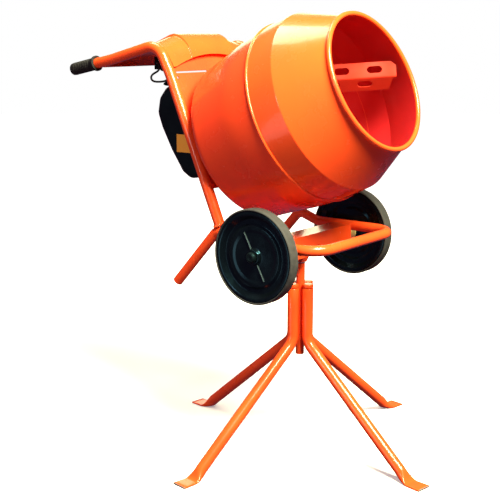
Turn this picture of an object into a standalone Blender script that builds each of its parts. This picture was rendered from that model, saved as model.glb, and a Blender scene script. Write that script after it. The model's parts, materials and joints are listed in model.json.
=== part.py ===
"""Tip-up concrete mixer on a four-legged swivel stand, built piece by piece.

Units are metres and +Z is up.  The drum's mouth faces +X, the lifting handles point to -X, and the
operator, standing behind the handles, has the left side at +Y and the right side at -Y.  Most sizes
are measured from the stand's vertical axis; the empty "stand_axis" carries that axis to its place, so
that the finished object is centred over the origin.
"""
import math

import bmesh
import bpy
from mathutils import Matrix, Vector

# ---------------------------------------------------------------- driving dimensions
GAP = 0.0003                 # clearance kept between touching pieces
SHEET = 0.0025               # pressed steel sheet

STAND_X = 0.1410             # stand axis, forward of the object's middle

LEG_RADIUS = 0.0175
LEG_CENTRE = 0.0327          # distance of each upright from the stand axis
LEG_TOP = 0.5215
LEG_BEND = 0.345             # height of the bend's corner
LEG_TURN = -8.2              # degrees, front leg against the drum's direction
HEEL_REACH = 0.450           # where the leg meets the floor
FOOT_REACH = 0.509           # foot tip, from the stand axis
FOOT_HALF_WIDTH = 0.027
FOOT_THICK = 0.006

POST_RADIUS = 0.0138
POST_BORE = 0.0106
POST_BOTTOM = 0.300
POST_TOP = 0.600
SPIGOT_RADIUS = 0.0103
SPIGOT_BOTTOM = 0.470
WASHER_THICK = 0.003
WASHER_RADIUS = 0.0165

AXLE_X = 0.0227              # the wheel axle is the tipping axis
AXLE_Z = 0.6655
AXLE_RADIUS = 0.010
AXLE_HALF = 0.288

TILT = math.radians(23.4)    # drum axis above the horizontal at rest
DRUM_Z = 1.0607              # height of the drum axis over the stand axis
FRAME_S = -0.2706            # side tubes' plane, along the drum axis
TUBE_RADIUS = 0.017
CHASSIS_RADIUS = 0.016
TUBE_Y = 0.214               # side tubes and chassis, to either side
INNER_HALF = TUBE_Y - TUBE_RADIUS - 0.0008   # half width free between the tubes

DRUM_WALL = 0.003
BACK_RADIUS = 0.2600
CORNER_RADIUS = 0.0340
PAN_RADIUS = 0.2835
SEAM_S = 0.036
SEAM_RADIUS = 0.2865
CREASE_S = 0.129
CREASE_RADIUS = 0.2800
MOUTH_S = 0.2887
MOUTH_RADIUS = 0.2060
RIM_RADIUS = 0.0072
BACK_S = -0.2400
BACKING_RADIUS = 0.085       # the stiffening disc behind the drum's floor
BACKING_THICK = 0.006
SHAFT_FLANGE_RADIUS = 0.050
SHAFT_RADIUS = 0.0125

WHEEL_RADIUS = 0.1430
WHEEL_WIDTH = 0.0377
TYRE_THICK = 0.0065
WHEEL_Y = 0.2600             # middle of the tread
SPACER_FLANGE = 0.0050
HUB_RADIUS = 0.022
RIM_INNER = 0.123            # where the dish of a wheel meets its rim
WEB = 0.0045                 # thickness of a wheel's dish
SPACER_RADIUS = 0.0155
SPACER_FLANGE_RADIUS = 0.0270

ROUND_LARGE = 40             # sides of the drum's circles
ROUND_WHEEL = 28
ROUND_SMALL = 16
TUBE_SIDES_RESOLUTION = 4    # twelve sided tubes

ORANGE = (0.87, 0.13, 0.025)
BLACK = (0.012, 0.013, 0.014)
GREY_RUBBER = (0.115, 0.112, 0.108)
STEEL = (0.52, 0.52, 0.53)
YELLOW_ZINC = (0.72, 0.58, 0.22)
CAST_GREY = (0.21, 0.22, 0.23)
AMBER = (0.85, 0.40, 0.04)
GREEN = (0.02, 0.32, 0.08)
RED = (0.60, 0.02, 0.02)


# ---------------------------------------------------------------- scene and materials
def clear_scene():
    """Remove whatever the file holds."""
    for item in list(bpy.data.objects):
        bpy.data.objects.remove(item, do_unlink=True)


def finish(name, colour, roughness, metallic=0.0):
    """A plain Principled finish."""
    material = bpy.data.materials.new(name)
    material.use_nodes = True
    shader = material.node_tree.nodes["Principled BSDF"]
    shader.inputs["Base Color"].default_value = (*colour, 1.0)
    shader.inputs["Roughness"].default_value = roughness
    shader.inputs["Metallic"].default_value = metallic
    return material


def empty(name, location=(0, 0, 0), rotation=(0, 0, 0), parent=None):
    """An axis or a centre that other pieces are placed by."""
    item = bpy.data.objects.new(name, None)
    item.location = location
    item.rotation_euler = rotation
    item.parent = parent
    bpy.context.collection.objects.link(item)
    return item


# ---------------------------------------------------------------- mesh helpers
def node(name, mesh_builder, material, parent, smooth=35):
    """Turn a bmesh into a named object with outward faces, smooth where it is round."""
    bmesh.ops.recalc_face_normals(mesh_builder, faces=mesh_builder.faces)
    mesh = bpy.data.meshes.new(name)
    mesh_builder.to_mesh(mesh)
    mesh_builder.free()
    mesh.materials.append(material)
    mesh.shade_smooth()
    mesh.set_sharp_from_angle(angle=math.radians(smooth))
    item = bpy.data.objects.new(name, mesh)
    item.parent = parent
    bpy.context.collection.objects.link(item)
    return item


def turned(name, outline, material, parent, sides=ROUND_SMALL):
    """Turn a closed outline of (radius, height) points about the local Z axis."""
    build = bmesh.new()
    rings = []
    for radius, height in outline:
        if radius == 0:
            rings.append([build.verts.new((0, 0, height))])
            continue
        turns = [2 * math.pi * k / sides for k in range(sides)]
        rings.append([build.verts.new((radius * math.cos(a), radius * math.sin(a), height)) for a in turns])
    for ring, following in zip(rings, rings[1:] + rings[:1]):
        if len(ring) == 1 and len(following) == 1:
            continue
        for k in range(sides):
            after = (k + 1) % sides
            corners = [ring[k % len(ring)], ring[after % len(ring)],
                       following[after % len(following)], following[k % len(following)]]
            build.faces.new(list(dict.fromkeys(corners)))
    return node(name, build, material, parent)


def rod(radius, low, high):
    """The outline of a solid cylinder."""
    return [(0, low), (radius, low), (radius, high), (0, high)]


def lofted(name, rings, material, parent, smooth=35):
    """Skin a row of rings, each with as many points, and close both ends."""
    build = bmesh.new()
    loops = [[build.verts.new(point) for point in ring] for ring in rings]
    count = len(loops[0])
    for ring, following in zip(loops, loops[1:]):
        for k in range(count):
            after = (k + 1) % count
            build.faces.new((ring[k], ring[after], following[after], following[k]))
    build.faces.new(loops[0])
    build.faces.new(loops[-1])
    return node(name, build, material, parent, smooth)


def across(outline, low, high):
    """Two rings of an (x, z) outline, at two places along Y."""
    return [[Vector((x, y, z)) for x, z in outline] for y in (low, high)]


def block(name, low, high, material, parent):
    """A plain box between two corners."""
    outline = [(low[0], low[2]), (high[0], low[2]), (high[0], high[2]), (low[0], high[2])]
    return lofted(name, across(outline, low[1], high[1]), material, parent)


def arc_points(centre, radius, start, stop, steps):
    """Points of an arc in a plane, angles in degrees."""
    turns = [math.radians(start + (stop - start) * k / steps) for k in range(steps + 1)]
    return [(centre[0] + radius * math.cos(a), centre[1] + radius * math.sin(a)) for a in turns]


def rounded_path(corners, radii, steps=5):
    """A path through corner points, each inner corner turned into an arc of its own radius."""
    corners = [Vector(corner) for corner in corners]
    path = [corners[0]]
    for before, corner, following, radius in zip(corners, corners[1:], corners[2:], radii):
        into = (corner - before).normalized()
        out_of = (following - corner).normalized()
        turn = into.angle(out_of)
        setback = radius * math.tan(turn / 2)
        side = (out_of - into * math.cos(turn)) / math.sin(turn)
        start = corner - into * setback
        for k in range(steps + 1):
            angle = turn * k / steps
            path.append(start + into * radius * math.sin(angle) + side * radius * (1 - math.cos(angle)))
    path.append(corners[-1])
    return path


def tube(name, path, radius, material, parent, resolution=TUBE_SIDES_RESOLUTION):
    """A round bar or tube along a path, with closed ends."""
    curve = bpy.data.curves.new(name, "CURVE")
    curve.dimensions = "3D"
    curve.bevel_depth = radius
    curve.bevel_resolution = resolution
    curve.render_resolution_u = 0
    curve.use_fill_caps = True
    spline = curve.splines.new("POLY")
    spline.points.add(len(path) - 1)
    for point, place in zip(spline.points, path):
        point.co = (*place, 1.0)
    curve.materials.append(material)
    item = bpy.data.objects.new(name, curve)
    item.parent = parent
    bpy.context.collection.objects.link(item)
    return item


def boolean(target, other, operation):
    """Cut another object from the target, or join it on, and keep the other as a guide."""
    modifier = target.modifiers.new(operation.lower(), "BOOLEAN")
    modifier.operation = operation
    modifier.solver = "EXACT"
    modifier.object = other
    other.hide_render = True
    other.display_type = "WIRE"


def bore(target, radius, centre, parent, along="Z", length=0.5):
    """A round hole cut right through the target."""
    tool = turned(target.name + "_drill", [(0, -length), (radius, -length), (radius, length), (0, length)],
                  target.data.materials[0], parent)
    tool.location = centre
    tool.rotation_euler = {"Z": (0, 0, 0), "Y": (math.pi / 2, 0, 0), "X": (0, math.pi / 2, 0)}[along]
    boolean(target, tool, "DIFFERENCE")


def on_frame(s, n):
    """(x, z) of a point s along the drum axis and n square to it, upwards."""
    x = s * math.cos(TILT) - n * math.sin(TILT)
    z = DRUM_Z + s * math.sin(TILT) + n * math.cos(TILT)
    return x, z


# ---------------------------------------------------------------- stand
def leg_section(place, heading, half_width, half_height, sides=14):
    """A ring round a leg at a place in the leg's own plane; flat underneath where it is pressed flat."""
    reach, height = place
    flattened = half_width / half_height > 1.5
    lift = 1.8 if flattened else 1.0
    ring = []
    for k in range(sides):
        angle = 2 * math.pi * k / sides
        sideways = half_width * math.cos(angle)
        upright = max(-half_height, min(half_height, lift * half_height * math.sin(angle)))
        shift = Vector((-math.sin(heading), 0, math.cos(heading))) * upright
        ring.append(Vector((reach, sideways, height)) + shift)
    return ring


def stand_leg(name, turn, material, parent):
    """A tube that comes down the post, bends outwards and ends in a foot pressed flat."""
    floor = FOOT_THICK / 2
    corners = [(LEG_CENTRE, LEG_TOP, 0), (LEG_CENTRE, LEG_BEND, 0), (HEEL_REACH - 0.012, LEG_RADIUS, 0)]
    path = rounded_path(corners, [0.055], steps=5)
    last = (path[-1] - path[-2]).normalized()
    slope = math.atan2(last.y, last.x)
    rings = []
    for k, place in enumerate(path):
        ahead = path[min(k + 1, len(path) - 1)] - path[max(k - 1, 0)]
        heading = math.atan2(ahead.y, ahead.x)
        rings.append(leg_section(place.xy, heading, LEG_RADIUS, LEG_RADIUS))
    rings[-1] = leg_section((HEEL_REACH - 0.030, LEG_RADIUS + 0.0125), slope, LEG_RADIUS, LEG_RADIUS)
    rings.append(leg_section((HEEL_REACH - 0.008, 0.0132), slope * 0.75, 0.0215, 0.0110))
    rings.append(leg_section((HEEL_REACH + 0.012, floor), 0.0, FOOT_HALF_WIDTH * 0.93, floor))
    rings.append(leg_section((FOOT_REACH, floor), 0.0, FOOT_HALF_WIDTH, floor))
    leg = lofted(name, rings, material, parent)
    leg.rotation_euler = (0, 0, math.radians(turn))
    return leg


CAP_HEIGHT = 0.0135


def leg_cap(name, turn, material, parent):
    """The plug in the top of a leg, standing a little proud of it."""
    neck = LEG_RADIUS - 0.0025
    low = LEG_TOP + GAP
    steps = [(neck, 0), (neck, 0.0025), (LEG_RADIUS, 0.0028), (LEG_RADIUS, 0.0100),
             (LEG_RADIUS - 0.003, 0.0125)]
    outline = [(0, low)] + [(radius, low + rise) for radius, rise in steps] + [(0, low + CAP_HEIGHT)]
    cap = turned(name, outline, material, parent)
    cap.location = (LEG_CENTRE * math.cos(math.radians(turn)), LEG_CENTRE * math.sin(math.radians(turn)), 0)
    return cap


def stand(paint, parent):
    """Four legs round a central post."""
    turned("stand_post", [(POST_BORE, POST_BOTTOM), (POST_RADIUS, POST_BOTTOM), (POST_RADIUS, POST_TOP),
                          (POST_BORE, POST_TOP)], paint, parent)
    for place, quarter in (("front", 0), ("left", 90), ("rear", 180), ("right", 270)):
        turn = LEG_TURN + quarter
        stand_leg("stand_leg_" + place, turn, paint, parent)
        leg_cap("leg_cap_" + place, turn, paint, parent)


# ---------------------------------------------------------------- swivel head
HEAD_HALF = 0.0160           # half width over the two ears
EAR_THICK = 0.0060
HEAD_BASE = 0.0085
EAR_RADIUS = 0.0165
CHANNEL_REAR = -0.012
CHANNEL_FRONT = 0.057
CHANNEL_TOP = 0.7000
CHANNEL_BOTTOM = 0.632
CHANNEL_WALL = 0.004
NOTCH_HALF = 0.0190          # cut-out that lets the channel tip past the head's ears
NOTCH_TOP = 0.6620
NOTCH_DEPTH = 0.027


def swivel_head(steel, paint, parent):
    """A clevis on a spigot: it turns in the post, and the axle passes through its ears."""
    washer_low = POST_TOP + GAP
    washer_high = washer_low + WASHER_THICK
    outline = [(POST_BORE, washer_low), (WASHER_RADIUS, washer_low), (WASHER_RADIUS, washer_high),
               (POST_BORE, washer_high)]
    turned("thrust_washer", outline, steel, parent)
    base_low = washer_low + WASHER_THICK + GAP
    base_high = base_low + HEAD_BASE
    stop_rear = CHANNEL_REAR + CHANNEL_WALL + GAP
    ear_outline = [(stop_rear, base_low), (POST_RADIUS, base_low)]
    ear_outline += arc_points((AXLE_X, AXLE_Z), EAR_RADIUS, -30, 170, 10)
    ear_outline += [(stop_rear, AXLE_Z - 0.012)]
    head = lofted("swivel_head", across(ear_outline, -HEAD_HALF, HEAD_HALF), paint, parent)
    gap_half = HEAD_HALF - EAR_THICK
    between = block("swivel_head_gap", (-0.1, -gap_half, base_high), (0.1, gap_half, 0.8), paint, parent)
    boolean(head, between, "DIFFERENCE")
    outline = rod(SPIGOT_RADIUS, SPIGOT_BOTTOM, base_low + 0.004)
    spigot = turned("swivel_head_spigot", outline, paint, parent)
    boolean(head, spigot, "UNION")
    bore(head, AXLE_RADIUS + GAP, (AXLE_X, 0, AXLE_Z), parent, along="Y")


# ---------------------------------------------------------------- chassis
KNEE = (-0.158, 0.7190)
CHASSIS_LEVEL = 0.6930
NOSE_START = 0.120
NOSE_TIP_X = 0.2120
NOSE_BEND = 0.0720
REAR_FOOT = (-0.3290, 0.5300)


def chassis(paint, parent):
    """The bent lower tube in three lengths, and the cross channel that the axle runs through."""
    for side, name in ((1, "chassis_tube_left"), (-1, "chassis_tube_right")):
        y = side * TUBE_Y
        corners = [(REAR_FOOT[0], y, REAR_FOOT[1]), (KNEE[0], y, KNEE[1]), (-0.085, y, CHASSIS_LEVEL),
                   (NOSE_START - GAP, y, CHASSIS_LEVEL)]
        tube(name, rounded_path(corners, [0.035, 0.10]), CHASSIS_RADIUS, paint, parent)
    nose = [(NOSE_START, -TUBE_Y, CHASSIS_LEVEL), (NOSE_TIP_X, -TUBE_Y, CHASSIS_LEVEL),
            (NOSE_TIP_X, TUBE_Y, CHASSIS_LEVEL), (NOSE_START, TUBE_Y, CHASSIS_LEVEL)]
    tube("chassis_nose", rounded_path(nose, [NOSE_BEND, NOSE_BEND], steps=8), CHASSIS_RADIUS, paint, parent)

    half = TUBE_Y - CHASSIS_RADIUS - 0.0005
    outline = [(CHANNEL_REAR, CHANNEL_BOTTOM), (CHANNEL_REAR, CHANNEL_TOP), (CHANNEL_FRONT, CHANNEL_TOP),
               (CHANNEL_FRONT, CHANNEL_BOTTOM), (CHANNEL_FRONT - CHANNEL_WALL, CHANNEL_BOTTOM),
               (CHANNEL_FRONT - CHANNEL_WALL, CHANNEL_TOP - CHANNEL_WALL),
               (CHANNEL_REAR + CHANNEL_WALL, CHANNEL_TOP - CHANNEL_WALL),
               (CHANNEL_REAR + CHANNEL_WALL, CHANNEL_BOTTOM)]
    channel = lofted("cross_channel", across(outline, -half, half), paint, parent)
    notch_low = (CHANNEL_FRONT - NOTCH_DEPTH, -NOTCH_HALF, CHANNEL_BOTTOM - 0.1)
    notch_high = (CHANNEL_FRONT + 0.1, NOTCH_HALF, NOTCH_TOP)
    notch = block("cross_channel_notch", notch_low, notch_high, paint, parent)
    boolean(channel, notch, "DIFFERENCE")


def wheels(paint, plastic, rubber, zinc, axis_parent):
    """The axle, and on each side a plastic wheel, its tyre, a spacer and an end cap."""
    axle_outline = [(0, -AXLE_HALF), (AXLE_RADIUS, -AXLE_HALF), (AXLE_RADIUS, AXLE_HALF), (0, AXLE_HALF)]
    axle = turned("axle", axle_outline, zinc, axis_parent)
    axle.rotation_euler = (math.pi / 2, 0, 0)
    half = WHEEL_WIDTH / 2 - 0.0015
    bore_radius = AXLE_RADIUS + GAP
    tyre_inner = WHEEL_RADIUS - TYRE_THICK
    disc = tyre_inner - GAP
    dish = [(0.0265, 0.006), (0.062, 0.004), (0.072, 0.0095), (0.088, 0.0095), (0.096, 0.002), (0.115, 0.002)]
    face = [(bore_radius, half - 0.001), (HUB_RADIUS, half - 0.001)] + dish
    face += [(RIM_INNER, half - 0.002), (disc, half)]
    back = [(disc, -half), (RIM_INNER, -half)] + [(radius, height - WEB) for radius, height in reversed(dish)]
    back += [(HUB_RADIUS, -half), (bore_radius, -half)]
    tread = WHEEL_WIDTH / 2
    tyre = [(tyre_inner, -tread + 0.003), (tyre_inner + 0.002, -tread), (WHEEL_RADIUS - 0.003, -tread),
            (WHEEL_RADIUS, -tread + 0.003), (WHEEL_RADIUS, tread - 0.003), (WHEEL_RADIUS - 0.003, tread),
            (tyre_inner + 0.002, tread), (tyre_inner, tread - 0.003)]
    spacer_inner = TUBE_Y + CHASSIS_RADIUS + 0.0005
    for side, name in ((1, "left"), (-1, "right")):
        turn = (-math.pi / 2 * side, 0, 0)
        hub = empty("wheel_axis_" + name, (0, side * WHEEL_Y, 0), turn, axis_parent)
        turned("wheel_" + name, face + back, plastic, hub, ROUND_WHEEL)
        turned("tyre_" + name, tyre, rubber, hub, ROUND_WHEEL)
        spacer_high = -half - GAP
        spacer_low = spacer_inner - WHEEL_Y
        flange_low = spacer_high - SPACER_FLANGE
        outline = [(bore_radius, spacer_low), (SPACER_RADIUS, spacer_low), (SPACER_RADIUS, flange_low),
                   (SPACER_FLANGE_RADIUS, flange_low), (SPACER_FLANGE_RADIUS, spacer_high),
                   (bore_radius, spacer_high)]
        turned("axle_spacer_" + name, outline, zinc, hub)
        cap_low = half - 0.001 + GAP
        cap_top = AXLE_HALF - WHEEL_Y + 0.0015
        turned("axle_cap_" + name, [(bore_radius, cap_low), (0.0165, cap_low), (0.0165, cap_top - 0.005),
                                    (0.012, cap_top), (0, cap_top), (0, cap_top - 0.0012),
                                    (bore_radius, cap_top - 0.0012)], plastic, hub)


# ---------------------------------------------------------------- side tubes, handles and sheet metal
HANDLE_END = (-0.7800, 1.1895)
HANDLE_KINK = (-0.6000, 1.2250)
TOP_BEND = (-0.3980, 1.2750)
SIDE_FOOT_N = -0.2400
GRIP_LENGTH = 0.112


def side_path(y):
    """The centre line of one side tube, from the handle's end to its foot on the chassis."""
    x, z = on_frame(FRAME_S, SIDE_FOOT_N)
    top_x, top_z = on_frame(FRAME_S, 0.2480)
    corners = [(HANDLE_END[0], y, HANDLE_END[1]), (HANDLE_KINK[0], y, HANDLE_KINK[1]),
               (TOP_BEND[0], y, TOP_BEND[1]), (top_x, y, top_z), (x, y, z)]
    return rounded_path(corners, [0.40, 0.060, 0.40], steps=6)


def side_tubes(paint, rubber, parent):
    """Both side tubes, which bend over at the top into the lifting handles, and their grips."""
    slope = math.atan2(HANDLE_KINK[1] - HANDLE_END[1], HANDLE_KINK[0] - HANDLE_END[0])
    for side, name in ((1, "left"), (-1, "right")):
        tube("side_tube_" + name, side_path(side * TUBE_Y), TUBE_RADIUS, paint, parent)
        place = (HANDLE_END[0], side * TUBE_Y, HANDLE_END[1])
        end = empty("grip_end_" + name, place, (0, math.pi / 2 - slope, 0), parent)
        inner = TUBE_RADIUS + GAP
        outer = TUBE_RADIUS + 0.0035
        collar = outer + 0.0045
        outline = [(0, -0.0070), (outer - 0.006, -0.0070), (outer - 0.001, -0.0035), (outer, 0.004),
                   (outer, GRIP_LENGTH - 0.009), (collar, GRIP_LENGTH - 0.007), (collar, GRIP_LENGTH - 0.001),
                   (collar - 0.0015, GRIP_LENGTH), (inner, GRIP_LENGTH), (inner, -GAP), (0, -GAP)]
        turned("grip_" + name, outline, rubber, end, 24)


HOOD_REAR_X = -0.6600
HOOD_EDGE_RISE = 0.0080
HOOD_CROWN = 0.0260
PAD_HALF = 0.1060
PAD_STEP = 0.0065
LIP_DROP = 0.0240
HOOD_FRONT_N = 0.2700
ARCH_HEIGHT = 0.0350
ARCH_HALF = 0.1860


def hood(paint, parent):
    """The sheet over the drive: a rear deck, a ridge with a raised middle, and a front with an arch."""
    path = [point for point in side_path(0) if point.x > HOOD_REAR_X]
    front_x, front_z = on_frame(FRAME_S, HOOD_FRONT_N)
    path = [point for point in path if point.x < front_x]
    rear_z = HANDLE_KINK[1] - (HANDLE_KINK[0] - HOOD_REAR_X) * math.tan(math.radians(11.1))
    path = [Vector((HOOD_REAR_X, 0, rear_z))] + path + [Vector((front_x, 0, front_z))]
    lengths = [0.0]
    for before, point in zip(path, path[1:]):
        lengths.append(lengths[-1] + (point - before).length)
    ridge = lengths[max(range(len(path)), key=lambda k: path[k].z)]
    total = lengths[-1]

    def along(distance):
        """The point and the outward direction at a distance along the profile."""
        for k in range(len(lengths) - 1):
            if distance <= lengths[k + 1] or k == len(lengths) - 2:
                share = (distance - lengths[k]) / (lengths[k + 1] - lengths[k])
                heading = (path[k + 1] - path[k]).normalized()
                return path[k].lerp(path[k + 1], share), Vector((-heading.z, 0, heading.x))
        return path[-1], Vector((0, 0, 1))

    def rise(y, share):
        """How far the sheet stands above the tubes' centre line: most along the ridge."""
        flank = max(0.0, min(1.0, (INNER_HALF - abs(y)) / (INNER_HALF - PAD_HALF)))
        pad = PAD_STEP if abs(y) < PAD_HALF else 0.0
        return HOOD_EDGE_RISE + (HOOD_CROWN * flank + pad) * share

    shares = (0.30, 0.55, 0.78)
    columns = [-INNER_HALF, -ARCH_HALF] + [-y for y in (0.160, 0.132)]
    columns += [-PAD_HALF - 0.0012, -PAD_HALF + 0.0012] + [-PAD_HALF * share for share in reversed(shares)]
    columns = columns + [0.0] + [-y for y in reversed(columns)]
    deck_steps = 5
    front_steps = 7
    build = bmesh.new()
    grid = []
    for y in columns:
        arch_radius = (ARCH_HALF ** 2 + ARCH_HEIGHT ** 2) / (2 * ARCH_HEIGHT)
        cut = 0.0
        if abs(y) < ARCH_HALF:
            cut = math.sqrt(arch_radius ** 2 - y ** 2) - (arch_radius - ARCH_HEIGHT)
        stations = [ridge * k / deck_steps for k in range(deck_steps)]
        stations += [ridge + (total - cut - ridge) * k / front_steps for k in range(front_steps + 1)]
        row = []
        for distance in stations:
            point, outward = along(distance)
            share = distance / ridge if distance < ridge else 1 - 0.85 * (distance - ridge) / (total - ridge)
            place = point + outward * rise(y, share)
            row.append((place.x, y, place.z))
        lip = (row[0][0] - 0.001, y, row[0][2] - LIP_DROP)
        grid.append([build.verts.new(place) for place in [lip] + row])
    for row, following in zip(grid, grid[1:]):
        for k in range(len(row) - 1):
            build.faces.new((row[k], row[k + 1], following[k + 1], following[k]))
    sheet = node("hood", build, paint, parent)
    if sheet.data.polygons[len(sheet.data.polygons) // 2].normal.z < 0:
        sheet.data.flip_normals()
    thickness = sheet.modifiers.new("thickness", "SOLIDIFY")
    thickness.thickness = SHEET
    thickness.offset = -1


BULKHEAD_TOP = 0.2850        # n of the shoulders, and of the narrower top behind the hood's arch
BULKHEAD_CROWN = 0.3180
CROWN_HALF = 0.1500
CROWN_FOOT_HALF = 0.1600
SLOT_N = 0.2560
SLOT_HEIGHT = 0.0060
SLOT_ENDS = (0.040, 0.186)
CORNER_HOLE_N = 0.2390
CORNER_HOLE_RADIUS = 0.0045
BULKHEAD_BOTTOM = -0.1250
PLATE = 0.003


def bulkhead(paint, parent):
    """The plate between the side tubes that carries the gearbox and the motor."""
    right = [(BULKHEAD_BOTTOM, -INNER_HALF), (BULKHEAD_TOP, -INNER_HALF), (BULKHEAD_TOP, -CROWN_FOOT_HALF),
             (BULKHEAD_CROWN, -CROWN_HALF)]
    outline = right + [(n, -y) for n, y in reversed(right)]
    rings = [[Vector((-n, y, FRAME_S + offset)) for n, y in outline] for offset in (-PLATE / 2, PLATE / 2)]
    plate = lofted("bulkhead", rings, paint, parent)
    bore(plate, 0.030, (0, 0, FRAME_S), parent, length=0.02)
    for side in (-1, 1):
        inner_end, outer_end = (side * end for end in SLOT_ENDS)
        slot = block("bulkhead_slot", (-SLOT_N - SLOT_HEIGHT / 2, min(inner_end, outer_end), FRAME_S - 0.02),
                     (-SLOT_N + SLOT_HEIGHT / 2, max(inner_end, outer_end), FRAME_S + 0.02), paint, parent)
        boolean(plate, slot, "DIFFERENCE")
    for side in (-1, 1):
        drill = turned("bulkhead_corner_drill", rod(CORNER_HOLE_RADIUS, -0.02, 0.02), paint, parent)
        drill.location = (-CORNER_HOLE_N, side * SLOT_ENDS[1], FRAME_S)
        boolean(plate, drill, "DIFFERENCE")


# ---------------------------------------------------------------- drive, in drum-axis coordinates
REAR_FACE = FRAME_S - PLATE / 2 - GAP
GEARBOX_RADIUS = 0.0540
GEARBOX_LENGTH = 0.0660
INPUT_N = 0.0220
INPUT_RADIUS = 0.0080
MOTOR_N = 0.1560
MOTOR_RADIUS = 0.0620
MOTOR_LENGTH = 0.0900
BELT_S = REAR_FACE - 0.1120
BELT_WIDTH = 0.0120
INPUT_PULLEY_RADIUS = 0.0500
MOTOR_PULLEY_RADIUS = 0.0140
BELT_THICK = 0.0040


def pulley(name, radius, shaft_radius, centre_n, shaft_front, steel, parent):
    """A flanged pulley in one piece with its shaft."""
    half = BELT_WIDTH / 2 + 0.0005
    flange = half + 0.002
    outline = [(0, -flange - 0.003), (shaft_radius, -flange - 0.003), (shaft_radius, -flange),
               (radius + 0.003, -flange), (radius + 0.003, -half), (radius, -half), (radius, half),
               (radius + 0.003, half), (radius + 0.003, flange), (shaft_radius, flange),
               (shaft_radius, shaft_front - BELT_S), (0, shaft_front - BELT_S)]
    item = turned(name, outline, steel, parent, 28)
    item.location = (-centre_n, 0, BELT_S)
    return item


def belt(rubber, parent):
    """A flat belt round both pulleys, its inner face just clear of them."""
    inner = []
    outer = []
    spread = MOTOR_N - INPUT_N
    lean = math.degrees(math.asin((INPUT_PULLEY_RADIUS - MOTOR_PULLEY_RADIUS) / spread))
    for thickness, outline in ((GAP, inner), (GAP + BELT_THICK - 0.0015, outer)):
        outline += arc_points((-MOTOR_N, 0), MOTOR_PULLEY_RADIUS + thickness, 90 + lean, 270 - lean, 10)
        outline += arc_points((-INPUT_N, 0), INPUT_PULLEY_RADIUS + thickness, -90 - lean, 90 + lean, 20)
    build = bmesh.new()
    loops = []
    for outline, s in ((inner, -1), (inner, 1), (outer, 1), (outer, -1)):
        height = BELT_S + s * BELT_WIDTH / 2
        loops.append([build.verts.new((x, y, height)) for x, y in outline])
    count = len(inner)
    for ring, following in zip(loops, loops[1:] + loops[:1]):
        for k in range(count):
            after = (k + 1) % count
            build.faces.new((ring[k], ring[after], following[after], following[k]))
    return node("drive_belt", build, rubber, parent)


def drive(cast, steel, plastic, rubber, parent):
    """Gearbox, motor, fan cover, pulleys and belt, behind the bulkhead."""
    rear = REAR_FACE - GEARBOX_LENGTH
    outline = [(0, REAR_FACE), (GEARBOX_RADIUS, REAR_FACE), (GEARBOX_RADIUS, REAR_FACE - 0.008),
               (GEARBOX_RADIUS - 0.006, REAR_FACE - 0.010), (GEARBOX_RADIUS - 0.008, rear + 0.008),
               (GEARBOX_RADIUS - 0.014, rear), (0, rear)]
    gearbox = turned("gearbox", outline[::-1], cast, parent, 32)
    pocket = turned("gearbox_shaft_bore", [(0, REAR_FACE + 0.01), (0, REAR_FACE - 0.040),
                                           (SHAFT_RADIUS + GAP, REAR_FACE - 0.040),
                                           (SHAFT_RADIUS + GAP, REAR_FACE + 0.01)], cast, parent)
    boolean(gearbox, pocket, "DIFFERENCE")
    outline = rod(INPUT_RADIUS + GAP, rear - 0.01, rear + 0.020 + GAP)
    inlet = turned("gearbox_input_bore", outline, cast, parent)
    inlet.location = (-INPUT_N, 0, 0)
    boolean(gearbox, inlet, "DIFFERENCE")
    pulley("gearbox_pulley", INPUT_PULLEY_RADIUS, INPUT_RADIUS, INPUT_N, rear + 0.020, steel, parent)

    motor_rear = REAR_FACE - MOTOR_LENGTH
    outline = [(0, motor_rear), (MOTOR_RADIUS - 0.020, motor_rear),
               (MOTOR_RADIUS - 0.004, motor_rear + 0.010), (MOTOR_RADIUS, motor_rear + 0.016),
               (MOTOR_RADIUS, REAR_FACE - 0.012), (MOTOR_RADIUS - 0.005, REAR_FACE), (0, REAR_FACE)]
    motor = turned("motor", outline, cast, parent, 32)
    motor.location = (-MOTOR_N, 0, 0)
    socket_front = motor_rear + 0.014
    outline = rod(0.0062 + GAP, motor_rear - 0.01, socket_front + GAP)
    socket = turned("motor_shaft_bore", outline, cast, parent)
    socket.location = (-MOTOR_N, 0, 0)
    boolean(motor, socket, "DIFFERENCE")
    pulley("motor_pulley", MOTOR_PULLEY_RADIUS, 0.0062, MOTOR_N, socket_front, steel, parent)
    belt(rubber, parent)


COVER_HALF = 0.1480
COVER_WALL = 0.0035
LABEL_X = (-0.3850, -0.3000)
LABEL_Z = (0.9350, 0.9920)
LABEL_THICK = 0.0008
COVER_PROFILE = [(0.0, 0.2450), (-0.1000, 0.2430), (-0.1360, 0.2250), (-0.1640, 0.1850),
                 (-0.1670, 0.1350), (-0.1580, 0.0500), (-0.1400, -0.0300), (-0.1190, -0.0580),
                 (-0.0880, -0.0660), (0.0, -0.0660)]


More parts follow.
